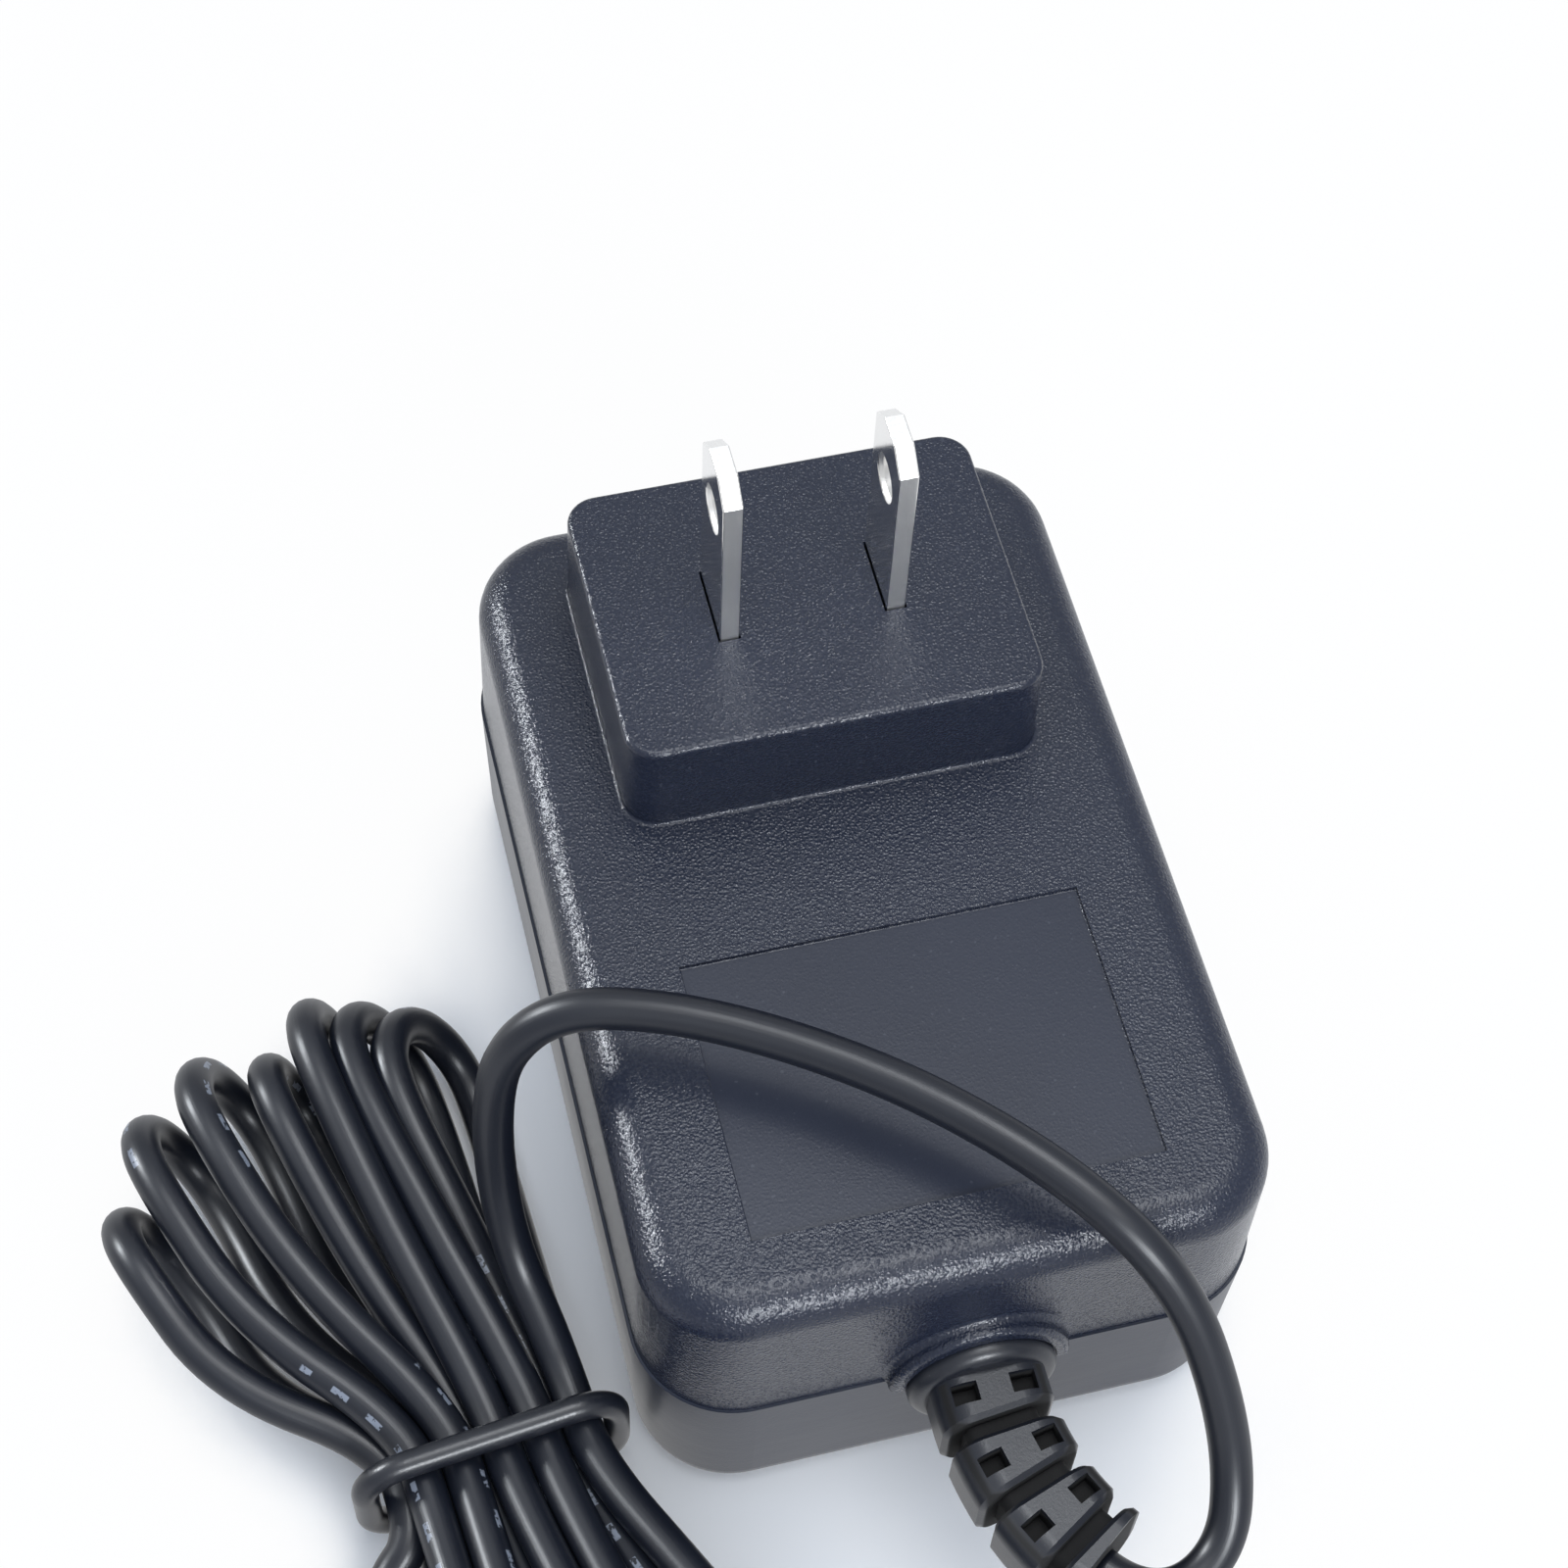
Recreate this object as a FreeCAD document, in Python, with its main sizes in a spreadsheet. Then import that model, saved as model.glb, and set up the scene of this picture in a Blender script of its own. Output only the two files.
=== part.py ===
import FreeCAD, Part
import Sketcher
import math
import os

# A plug-in battery charger, lying on the flat back of its housing with the mains blades up.
# +X is to the right seen from the lead's end, +Y runs from the lead's end to the blades' end, and
# +Z points out of the face that carries the blades. The origin is the middle of the flat back.
# All sizes are in millimetres and degrees.

SIZES = {
    # Housing: two drafted shells that meet on a level parting line
    "body_width": "46.6",
    "body_length": "70.0",
    "base_height": "15.7",
    "cover_height": "15.0",
    "wall": "2.2",
    "draft": "1.2",
    "corner_radius": "7.5",
    "edge_radius": "3.0",
    "base_overhang": "0.2",
    # Tongue of the base in the rebate of the cover
    "tongue_height": "1.3",
    "tongue_width": "0.9",
    "tongue_clearance": "0.12",
    # Boss that carries the blades
    "boss_width": "32.0",
    "boss_length": "24.4",
    "boss_height": "9.1",
    "boss_margin": "2.2",
    "boss_corner": "2.6",
    "boss_edge": "0.45",
    "boss_foot": "0.3",
    # Shallow bare panel near the lead's end
    "panel_width": "30.1",
    "panel_length": "22.0",
    "panel_shift": "17.7",
    "panel_depth": "0.3",
    # Mains blades
    "blade_spacing": "12.7",
    "blade_width": "6.35",
    "blade_thickness": "1.5",
    "blade_length": "17.2",
    "blade_edge": "0.15",
    "blade_hole": "3.2",
    "hole_bevel": "0.35",
    "hole_distance": "12.0",
    "tip_chamfer": "1.6",
    "tip_land": "2.6",
    "blade_clearance": "0.1",
    "shoulder_width": "9.0",
    "shoulder_height": "2.0",
    "blade_tail": "4.0",
    "retainer_thickness": "2.4",
    "retainer_clearance": "0.25",
    # Strain relief and its hood
    "relief_shift": "0.6",
    "hood_radius": "6.8",
    "hood_depth": "1.2",
    "hood_edge": "0.5",
    "hood_clearance": "0.15",
    "flange_radius": "5.6",
    "flange_depth": "2.2",
    "flange_edge": "1.0",
    "neck_radius": "3.6",
    "neck_clearance": "0.1",
    "anchor_radius": "5.0",
    "anchor_depth": "1.8",
    "anchor_clearance": "0.2",
    "tail_width": "8.6",
    "tail_depth": "7.6",
    "tail_corner": "2.4",
    "tail_straight": "1.5",
    "tail_bend_radius": "22.0",
    "tail_bend": "36.0",
    "first_rib": "1.3",
    "rib_pitch": "2.45",
    "rib_count": "6",
    "groove_width": "1.2",
    "groove_depth": "1.5",
    "groove_lip": "0.4",
    "lip_clearance": "0.05",
    "window_length": "1.5",
    "window_width": "1.9",
    "window_depth": "1.8",
    "spine_width": "2.4",
    # Lead, tie and barrel plug
    "lead_diameter": "3.0",
    "tie_diameter": "2.0",
    "tie_clearance": "0.15",
    "hank_corner": "0.25",
    "grip_radius": "5.0",
    "grip_length": "19.0",
    "grip_edge": "1.0",
    "boot_radius": "2.9",
    "boot_end_radius": "3.6",
    "boot_length": "8.0",
    "sleeve_radius": "2.75",
    "sleeve_wall": "0.35",
    "sleeve_length": "9.5",
    "pin_bore_radius": "1.05",
    "contact_wall": "0.25",
    # Board and its posts
    "board_gap": "1.7",
    "board_thickness": "1.6",
    "board_level": "5.2",
    "board_corner": "3.0",
    "post_inset": "4.5",
    "post_radius": "2.5",
    "peg_radius": "1.0",
    "peg_clearance": "0.2",
    "sheet_thickness": "0.3",
    "sheet_margin": "0.8",
    "seat_clearance": "0.2",
    # Parts on the board, and the smallest board that takes them at full size
    "layout_width": "38.8",
    "layout_length": "62.2",
    "leg_radius": "0.4",
    "fuse_radius": "4.2",
    "fuse_height": "8.0",
    "thermistor_radius": "4.5",
    "thermistor_depth": "4.5",
    "disc_stand": "2.5",
    "filter_width": "17.5",
    "filter_depth": "6.0",
    "filter_height": "12.0",
    "choke_outer": "6.6",
    "choke_inner": "3.8",
    "choke_depth": "5.0",
    "choke_coat": "1.0",
    "choke_clearance": "0.1",
    "choke_sweep": "140.0",
    "bridge_width": "8.4",
    "bridge_depth": "6.4",
    "bridge_height": "3.2",
    "bulk_radius": "5.0",
    "bulk_height": "16.5",
    "core_width": "19.0",
    "core_length": "16.0",
    "core_thickness": "4.8",
    "core_leg": "2.4",
    "bobbin_rail": "4.0",
    "bobbin_flange": "14.0",
    "bobbin_wall": "0.7",
    "bobbin_clearance": "0.12",
    "winding_inset": "0.5",
    "winding_edge": "2.0",
    "sink_thickness": "1.5",
    "sink_height": "16.0",
    "sink_foot": "4.0",
    "primary_sink_length": "18.0",
    "secondary_sink_length": "10.4",
    "tab_thickness": "1.3",
    "tab_rise": "1.5",
    "leg_pitch": "2.54",
    "case_width": "10.0",
    "case_depth": "4.5",
    "case_height": "9.0",
    "case_stand": "4.0",
    "chip_length": "9.4",
    "chip_width": "6.4",
    "chip_height": "3.3",
    "coupler_length": "6.5",
    "coupler_width": "4.6",
    "safety_radius": "4.0",
    "safety_depth": "3.6",
    "output_radius": "4.0",
    "output_height": "13.0",
    "drum_radius": "3.5",
    "drum_height": "9.0",
    "drum_winding": "3.1",
    "wire_radius": "0.75",
    "wire_bend": "2.5",
    "wire_spread": "1.5",
    "wire_drop": "3.0",
}

doc = FreeCAD.newDocument("battery_charger")
sheet = doc.addObject("Spreadsheet::Sheet", "sizes")
for row, (alias, number) in enumerate(SIZES.items(), start=1):
    sheet.set(f"A{row}", alias)
    sheet.set(f"B{row}", number)
    sheet.setAlias(f"B{row}", alias)
doc.recompute()

X = FreeCAD.Vector(1, 0, 0)
Y = FreeCAD.Vector(0, 1, 0)
Z = FreeCAD.Vector(0, 0, 1)
sub_parts = []


def vec(x, y, z=0.0):
    return FreeCAD.Vector(x, y, z)


def value(expression):
    """The number that an expression on the sheet's aliases gives."""
    return float(sheet.evalExpression(expression))


def size(alias):
    return float(sheet.get(alias))


# Levels and places that several pieces share
PARTING = "sizes.base_height"
COVER_TOP = "(sizes.base_height + sizes.cover_height)"
ROOF = "(sizes.base_height + sizes.cover_height - sizes.wall)"
BOSS_TOP = "(sizes.base_height + sizes.cover_height + sizes.boss_height)"
BOSS_MIDDLE = "(sizes.body_length / 2 - sizes.edge_radius - sizes.boss_margin - sizes.boss_length / 2)"
BOSS_ROOF = "(sizes.base_height + sizes.cover_height + sizes.boss_height - sizes.wall)"
END_FACE = "(sizes.body_length / 2 + sizes.base_overhang)"
BOARD_TOP = "(sizes.board_level + sizes.board_thickness)"
BASE_WIDTH = "(sizes.body_width + 2 * sizes.base_overhang)"
BASE_LENGTH = "(sizes.body_length + 2 * sizes.base_overhang)"
TONGUE_WIDTH = "(sizes.body_width - 2 * sizes.wall + 2 * sizes.tongue_width)"
TONGUE_LENGTH = "(sizes.body_length - 2 * sizes.wall + 2 * sizes.tongue_width)"
TONGUE_CORNER = "(sizes.corner_radius - sizes.wall + sizes.tongue_width)"
BOARD_WIDTH = "(sizes.body_width - 2 * sizes.wall - 2 * sizes.board_gap)"
BOARD_LENGTH = "(sizes.body_length - 2 * sizes.wall - 2 * sizes.board_gap)"
POST_X = "(sizes.body_width / 2 - sizes.wall - sizes.post_inset)"
POST_Y = "(sizes.body_length / 2 - sizes.wall - sizes.post_inset)"
FIT = f"min(1; {BOARD_WIDTH} / sizes.layout_width; {BOARD_LENGTH} / sizes.layout_length)"
BOSS_SHRINK = "(2 * sizes.wall + 2 * sizes.boss_height * tan(sizes.draft * 1 deg))"
BOSS_INSIDE_WIDTH = f"(sizes.boss_width - {BOSS_SHRINK})"
BOSS_INSIDE_LENGTH = f"(sizes.boss_length - {BOSS_SHRINK})"

# Bodies made of sketches and features


def new_body(label):
    body = doc.addObject("PartDesign::Body", label)
    body.Label = label
    sub_parts.append(body)
    return body


def new_sketch(body, name, role, level=None):
    """A sketch on one of the body's own origin planes, moved along that plane's normal."""
    plane = next(f for f in body.Origin.OriginFeatures if f.Role == role)
    sketch = body.newObject("Sketcher::SketchObject", name)
    sketch.AttachmentSupport = (plane, [""])
    sketch.MapMode = "FlatFace"
    if level:
        sketch.setExpression("AttachmentOffset.Base.z", level)
    return sketch


def bind(sketch, kind, first, first_point, second, second_point, expression):
    """A distance between two points of a sketch, bound to an expression on the sheet."""
    distance = Sketcher.Constraint(kind, first, first_point, second, second_point, value(expression))
    number = sketch.addConstraint(distance)
    sketch.setExpression(f"Constraints[{number}]", expression)


def add_rectangle(sketch, width, length, mid_x="0", mid_y="0"):
    """A rectangle whose sides and middle are bound to expressions on the sheet."""
    half_x = value(width) / 2
    half_y = value(length) / 2
    x, y = value(mid_x), value(mid_y)
    corners = [vec(x - half_x, y - half_y), vec(x + half_x, y - half_y)]
    corners += [vec(x + half_x, y + half_y), vec(x - half_x, y + half_y)]
    first = sketch.GeometryCount
    for index in range(4):
        sketch.addGeometry(Part.LineSegment(corners[index], corners[(index + 1) % 4]))
    for index in range(4):
        sketch.addConstraint(Sketcher.Constraint("Coincident", first + index, 2, first + (index + 1) % 4, 1))
    for index in (0, 2):
        sketch.addConstraint(Sketcher.Constraint("Horizontal", first + index))
        sketch.addConstraint(Sketcher.Constraint("Vertical", first + index + 1))
    bind(sketch, "DistanceX", first, 1, first, 2, width)
    bind(sketch, "DistanceY", first + 1, 1, first + 1, 2, length)
    bind(sketch, "DistanceX", -1, 1, first, 1, f"{mid_x} - ({width}) / 2")
    bind(sketch, "DistanceY", -1, 1, first, 1, f"{mid_y} - ({length}) / 2")


def add_rounded_rectangle(sketch, width, length, radius, mid_x="0", mid_y="0"):
    """A rectangle with round corners, bound to expressions on the sheet."""
    high_x = value(f"{mid_x} + ({width}) / 2")
    high_y = value(f"{mid_y} + ({length}) / 2")
    low_x = high_x - value(width)
    low_y = high_y - value(length)
    corner = value(radius)
    sides = [(vec(low_x + corner, low_y), vec(high_x - corner, low_y))]
    sides.append((vec(high_x, low_y + corner), vec(high_x, high_y - corner)))
    sides.append((vec(high_x - corner, high_y), vec(low_x + corner, high_y)))
    sides.append((vec(low_x, high_y - corner), vec(low_x, low_y + corner)))
    centres = [(high_x - corner, low_y + corner), (high_x - corner, high_y - corner)]
    centres += [(low_x + corner, high_y - corner), (low_x + corner, low_y + corner)]
    first = sketch.GeometryCount
    for start, end in sides:
        sketch.addGeometry(Part.LineSegment(start, end))
    for quarter, (x, y) in enumerate(centres, start=-1):
        circle = Part.Circle(vec(x, y), Z, corner)
        sketch.addGeometry(Part.ArcOfCircle(circle, quarter * math.pi / 2, (quarter + 1) * math.pi / 2))
    for index in range(4):
        arc = first + 4 + index
        sketch.addConstraint(Sketcher.Constraint("Tangent", first + index, 2, arc, 1))
        sketch.addConstraint(Sketcher.Constraint("Tangent", arc, 2, first + (index + 1) % 4, 1))
        if index:
            sketch.addConstraint(Sketcher.Constraint("Equal", first + 4, arc))
    sketch.addConstraint(Sketcher.Constraint("Horizontal", first))
    sketch.addConstraint(Sketcher.Constraint("Vertical", first + 1))
    sketch.addConstraint(Sketcher.Constraint("Horizontal", first + 2))
    sketch.addConstraint(Sketcher.Constraint("Vertical", first + 3))
    number = sketch.addConstraint(Sketcher.Constraint("Radius", first + 4, corner))
    sketch.setExpression(f"Constraints[{number}]", radius)
    bind(sketch, "DistanceX", first + 3, 1, first + 1, 1, width)
    bind(sketch, "DistanceY", first, 1, first + 2, 1, length)
    bind(sketch, "DistanceX", -1, 1, first + 1, 1, f"{mid_x} + ({width}) / 2")
    bind(sketch, "DistanceY", -1, 1, first + 2, 1, f"{mid_y} + ({length}) / 2")


def add_circle(sketch, radius, mid_x="0", mid_y="0"):
    """A circle whose radius and centre are bound to expressions on the sheet."""
    centre = vec(value(mid_x), value(mid_y))
    index = sketch.addGeometry(Part.Circle(centre, Z, value(radius)))
    number = sketch.addConstraint(Sketcher.Constraint("Radius", index, value(radius)))
    sketch.setExpression(f"Constraints[{number}]", radius)
    bind(sketch, "DistanceX", -1, 1, index, 3, mid_x)
    bind(sketch, "DistanceY", -1, 1, index, 3, mid_y)


def add_post_circles(sketch, radius):
    """Four circles on the posts that carry the board."""
    for side_x in ("", "-"):
        for side_y in ("", "-"):
            add_circle(sketch, radius, side_x + POST_X, side_y + POST_Y)


def pad(body, sketch, length, reversed_way=False, taper=None):
    """Adds material along the sketch's normal, or against it."""
    before = volume_of(body)
    feature = body.newObject("PartDesign::Pad", sketch.Name + "_pad")
    feature.Profile = sketch
    feature.Reversed = reversed_way
    feature.setExpression("Length", length)
    if taper:
        feature.setExpression("TaperAngle", taper)
    finish_feature(body, feature)
    if feature.Shape.Volume <= before:
        raise ValueError(f"{feature.Name} adds nothing")
    return feature


def pocket(body, sketch, length, reversed_way=False, taper=None):
    """Takes material away against the sketch's normal, or along it."""
    before = volume_of(body)
    feature = body.newObject("PartDesign::Pocket", sketch.Name + "_pocket")
    feature.Profile = sketch
    feature.Reversed = reversed_way
    feature.setExpression("Length", length)
    if taper:
        feature.setExpression("TaperAngle", taper)
    finish_feature(body, feature)
    if feature.Shape.Volume >= before:
        raise ValueError(f"{feature.Name} cuts nothing")
    return feature


def round_edges(body, name, radius, wanted):
    """Rounds those edges of the body for which wanted(edge) is true."""
    ease_edges(body, name, "Fillet", "Radius", radius, wanted)


def bevel_edges(body, name, width, wanted):
    """Bevels those edges of the body for which wanted(edge) is true."""
    ease_edges(body, name, "Chamfer", "Size", width, wanted)


def ease_edges(body, name, kind, measure, amount, wanted):
    base = body.Tip
    edges = [f"Edge{number}" for number, edge in enumerate(base.Shape.Edges, start=1) if wanted(edge)]
    if not edges:
        raise ValueError(f"{name} finds no edge")
    feature = body.newObject("PartDesign::" + kind, name)
    feature.Base = (base, edges)
    feature.setExpression(measure, amount)
    finish_feature(body, feature)


def finish_feature(body, feature):
    body.Tip = feature
    doc.recompute()
    if "Invalid" in feature.State or feature.Shape.isNull() or not feature.Shape.isValid():
        raise ValueError(f"{feature.Name} failed")


def volume_of(body):
    return body.Shape.Volume if body.Tip else 0.0


def middle_of(edge):
    return edge.valueAt((edge.FirstParameter + edge.LastParameter) / 2)


def is_level(edge, level):
    """True for an edge that lies at one height."""
    box = edge.BoundBox
    return abs(box.ZMin - level) < 0.01 and abs(box.ZMax - level) < 0.01


# Pieces made of primitives and of shapes worked out in code


def new_box(label, width, length, height, mid_x, mid_y, level):
    """A box given by expressions for its sides, the middle of its footprint and its underside."""
    box = doc.addObject("Part::Box", label)
    box.setExpression("Length", width)
    box.setExpression("Width", length)
    box.setExpression("Height", height)
    box.setExpression("Placement.Base.x", f"{mid_x} - ({width}) / 2")
    box.setExpression("Placement.Base.y", f"{mid_y} - ({length}) / 2")
    box.setExpression("Placement.Base.z", level)
    return box


def new_cylinder(label, radius, height, mid_x, mid_y, level):
    """An upright cylinder given by expressions."""
    cylinder = doc.addObject("Part::Cylinder", label)
    cylinder.setExpression("Radius", radius)
    cylinder.setExpression("Height", height)
    cylinder.setExpression("Placement.Base.x", mid_x)
    cylinder.setExpression("Placement.Base.y", mid_y)
    cylinder.setExpression("Placement.Base.z", level)
    return cylinder


def new_shape(label, shape, position=vec(0, 0, 0)):
    """A piece whose shape is worked out in code from the sheet's values, set at a position."""
    feature = doc.addObject("Part::Feature", label)
    feature.Shape = shape
    feature.Placement = FreeCAD.Placement(position, FreeCAD.Rotation())
    sub_parts.append(feature)
    return feature


def solid_box(width, length, height, mid_x, mid_y, level):
    return Part.makeBox(width, length, height, vec(mid_x - width / 2, mid_y - length / 2, level))


def upright_cylinder(radius, height, mid_x, mid_y, level):
    return Part.makeCylinder(radius, height, vec(mid_x, mid_y, level))


def one_solid(shape):
    """The single solid of a shape, with split faces joined."""
    clean = shape.removeSplitter()
    if len(clean.Solids) != 1:
        raise ValueError(f"{len(clean.Solids)} solids where one is meant")
    return clean.Solids[0]


def rounded_rectangle(width, height, radius, place):
    """A closed wire about the place's origin, in its XY plane."""
    half_x = width / 2 - radius
    half_y = height / 2 - radius
    edges = []
    corners = ((half_x, half_y), (-half_x, half_y), (-half_x, -half_y), (half_x, -half_y))
    for quarter, (x, y) in enumerate(corners):
        start = quarter * 90.0
        circle = Part.Circle(vec(x, y), Z, radius)
        edges.append(Part.Arc(circle, math.radians(start), math.radians(start + 90)))
    wire_edges = []
    for index, arc in enumerate(edges):
        following = edges[(index + 1) % 4]
        wire_edges.append(arc.toShape())
        wire_edges.append(Part.LineSegment(arc.EndPoint, following.StartPoint).toShape())
    wire = Part.Wire(wire_edges)
    wire.Placement = place
    return wire


def facing(position, heading, up=Z):
    """A placement whose Z axis points along the heading and whose Y axis leans towards up."""
    side = up.cross(heading).normalize()
    rise = heading.cross(side).normalize()
    matrix = FreeCAD.Matrix(
        side.x, rise.x, heading.x, position.x,
        side.y, rise.y, heading.y, position.y,
        side.z, rise.z, heading.z, position.z,
        0, 0, 0, 1)
    return FreeCAD.Placement(matrix)


def bend_radius(before, corner, after, share=0.45):
    """The radius of the arc at a corner: a share of the shorter run, over the tangent of half the turn."""
    first = corner - before
    second = after - corner
    return share * min(first.Length, second.Length) / math.tan(first.getAngle(second) / 2)


def rounded_path(points, radii):
    """Straight runs between the points, joined by tangent arcs of the given radii."""
    edges = []
    start = points[0]
    for index, radius in enumerate(radii, start=1):
        corner = points[index]
        back = (points[index - 1] - corner).normalize()
        ahead = (points[index + 1] - corner).normalize()
        half_turn = (math.pi - back.getAngle(ahead)) / 2
        reach = radius * math.tan(half_turn)
        arc_start = corner + back * reach
        arc_end = corner + ahead * reach
        inward = (back + ahead).normalize()
        centre = corner + inward * (radius / math.cos(half_turn))
        edges.append(Part.LineSegment(start, arc_start).toShape())
        edges.append(Part.Arc(arc_start, centre - inward * radius, arc_end).toShape())
        start = arc_end
    edges.append(Part.LineSegment(start, points[-1]).toShape())
    return Part.Wire(edges)


def tube(path, radius):
    """A round bar along a path, whose volume is its section times its length."""
    first = path.OrderedEdges[0]
    start = first.valueAt(first.FirstParameter)
    profile = Part.Wire(Part.makeCircle(radius, start, first.tangentAt(first.FirstParameter)))
    shape = path.makePipeShell([profile], True, True)
    expected = math.pi * radius ** 2 * path.Length
    if abs(shape.Volume / expected - 1) > 0.01:
        raise ValueError(f"a tube's volume is {shape.Volume:.1f}, not its section times its length")
    return shape


def make_cover():
    """The upper shell: drafted cover, boss, panel, hood, blade slots and board hold-downs."""
    body = new_body("upper_shell")
    outline = new_sketch(body, "cover_outline", "XY_Plane", PARTING)
    add_rounded_rectangle(outline, "sizes.body_width", "sizes.body_length", "sizes.corner_radius")
    pad(body, outline, "sizes.cover_height", taper="-sizes.draft")
    cover_top = value(COVER_TOP)
    round_edges(body, "cover_edge", "sizes.edge_radius", lambda e: is_level(e, cover_top))
    add_boss(body)
    panel = new_sketch(body, "panel_outline", "XY_Plane", COVER_TOP)
    add_rectangle(panel, "sizes.panel_width", "sizes.panel_length", "0", "-sizes.panel_shift")
    pocket(body, panel, "sizes.panel_depth")
    hollow_cover(body)
    add_hood(body)
    slots = new_sketch(body, "blade_slots", "XY_Plane", BOSS_TOP)
    for side in ("", "-"):
        add_rectangle(slots, "sizes.blade_thickness + 2 * sizes.blade_clearance",
                      "sizes.blade_width + 2 * sizes.blade_clearance",
                      f"{side}sizes.blade_spacing / 2", BOSS_MIDDLE)
    pocket(body, slots, "2 * sizes.wall")
    posts = new_sketch(body, "hold_downs", "XY_Plane", f"{BOARD_TOP} + sizes.seat_clearance")
    add_post_circles(posts, "sizes.post_radius - sizes.seat_clearance")
    pad(body, posts, f"{ROOF} - {BOARD_TOP} - sizes.seat_clearance")
    return body


def add_boss(body):
    """The raised block round the blades, with rounded corners and a small round at its top and foot."""
    outline = new_sketch(body, "boss_outline", "XY_Plane", COVER_TOP)
    add_rounded_rectangle(outline, "sizes.boss_width", "sizes.boss_length", "sizes.boss_corner",
                          "0", BOSS_MIDDLE)
    pad(body, outline, "sizes.boss_height", taper="-sizes.draft")
    boss_top = value(BOSS_TOP)
    round_edges(body, "boss_rim", "sizes.boss_edge", lambda e: is_level(e, boss_top))
    cover_top = value(COVER_TOP)
    half_width = size("boss_width") / 2 + 0.1
    half_length = size("boss_length") / 2 + 0.1

    def is_foot(edge):
        middle = middle_of(edge)
        beside = abs(middle.x) < half_width and abs(middle.y - value(BOSS_MIDDLE)) < half_length
        return beside and is_level(edge, cover_top)

    round_edges(body, "boss_foot", "sizes.boss_foot", is_foot)


def hollow_cover(body):
    """The cover's inside, open at the parting line, with a deeper well behind the boss."""
    inside = new_sketch(body, "cover_inside", "XY_Plane", PARTING)
    add_rounded_rectangle(inside, "sizes.body_width - 2 * sizes.wall", "sizes.body_length - 2 * sizes.wall",
                          "sizes.corner_radius - sizes.wall")
    pocket(body, inside, "sizes.cover_height - sizes.wall", True, "-sizes.draft")
    well = new_sketch(body, "boss_inside", "XY_Plane", ROOF)
    add_rectangle(well, BOSS_INSIDE_WIDTH, BOSS_INSIDE_LENGTH, "0", BOSS_MIDDLE)
    pocket(body, well, "sizes.boss_height", True)
    rebate = new_sketch(body, "rebate", "XY_Plane", PARTING)
    add_rounded_rectangle(rebate, f"{TONGUE_WIDTH} + 2 * sizes.tongue_clearance",
                          f"{TONGUE_LENGTH} + 2 * sizes.tongue_clearance",
                          f"{TONGUE_CORNER} + sizes.tongue_clearance")
    pocket(body, rebate, "sizes.tongue_height + sizes.tongue_clearance", True)


def add_hood(body):
    """The half-round hood over the flange of the strain relief, and the opening for its neck."""
    ring = new_sketch(body, "hood_outline", "XZ_Plane", "sizes.body_length / 2 - sizes.wall / 2")
    add_circle(ring, "sizes.hood_radius", "sizes.relief_shift", PARTING)
    pad(body, ring, "sizes.wall / 2 + sizes.hood_depth")
    recess = new_sketch(body, "flange_recess", "XZ_Plane", END_FACE)
    add_circle(recess, "sizes.flange_radius + sizes.hood_clearance", "sizes.relief_shift", PARTING)
    pocket(body, recess, "2 * sizes.hood_depth", True)
    below = new_sketch(body, "below_parting", "XY_Plane", PARTING)
    add_rectangle(below, "2 * sizes.body_width", "2 * sizes.body_length")
    pocket(body, below, "2 * sizes.hood_radius")
    parting = value(PARTING)

    def is_hood_edge(edge):
        middle = middle_of(edge)
        reach = math.hypot(middle.x - size("relief_shift"), middle.z - parting)
        return abs(reach - size("hood_radius")) < 0.05 and middle.z > parting + 0.1 and middle.y < 0

    round_edges(body, "hood_round", "sizes.hood_edge", is_hood_edge)
    neck = new_sketch(body, "cover_neck", "XZ_Plane", "sizes.body_length / 2 + sizes.hood_depth")
    add_circle(neck, "sizes.neck_radius + sizes.neck_clearance", "sizes.relief_shift", PARTING)
    pocket(body, neck, "3 * sizes.wall")


def make_base():
    """The lower shell: drafted tray with a tongue, board posts and pegs, and the other half of the neck."""
    body = new_body("lower_shell")
    outline = new_sketch(body, "base_outline", "XY_Plane", PARTING)
    add_rounded_rectangle(outline, BASE_WIDTH, BASE_LENGTH, "sizes.corner_radius + sizes.base_overhang")
    pad(body, outline, "sizes.base_height", True, "-sizes.draft")
    round_edges(body, "base_edge", "sizes.edge_radius", lambda e: is_level(e, 0.0))
    tongue = new_sketch(body, "tongue", "XY_Plane", PARTING)
    add_rounded_rectangle(tongue, TONGUE_WIDTH, TONGUE_LENGTH, TONGUE_CORNER)
    pad(body, tongue, "sizes.tongue_height")
    inside = new_sketch(body, "base_inside", "XY_Plane", f"{PARTING} + sizes.tongue_height")
    add_rounded_rectangle(inside, "sizes.body_width - 2 * sizes.wall", "sizes.body_length - 2 * sizes.wall",
                          "sizes.corner_radius - sizes.wall")
    pocket(body, inside, "sizes.base_height + sizes.tongue_height - sizes.wall", taper="-sizes.draft")
    posts = new_sketch(body, "board_posts", "XY_Plane", "sizes.wall")
    add_post_circles(posts, "sizes.post_radius")
    pad(body, posts, "sizes.board_level - sizes.wall")
    pegs = new_sketch(body, "board_pegs", "XY_Plane", "sizes.board_level")
    add_post_circles(pegs, "sizes.peg_radius")
    pad(body, pegs, "sizes.board_thickness - sizes.seat_clearance")
    neck = new_sketch(body, "base_neck", "XZ_Plane", f"{END_FACE} + sizes.wall")
    add_circle(neck, "sizes.neck_radius + sizes.neck_clearance", "sizes.relief_shift", PARTING)
    pocket(body, neck, "3 * sizes.wall")
    return body


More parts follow.
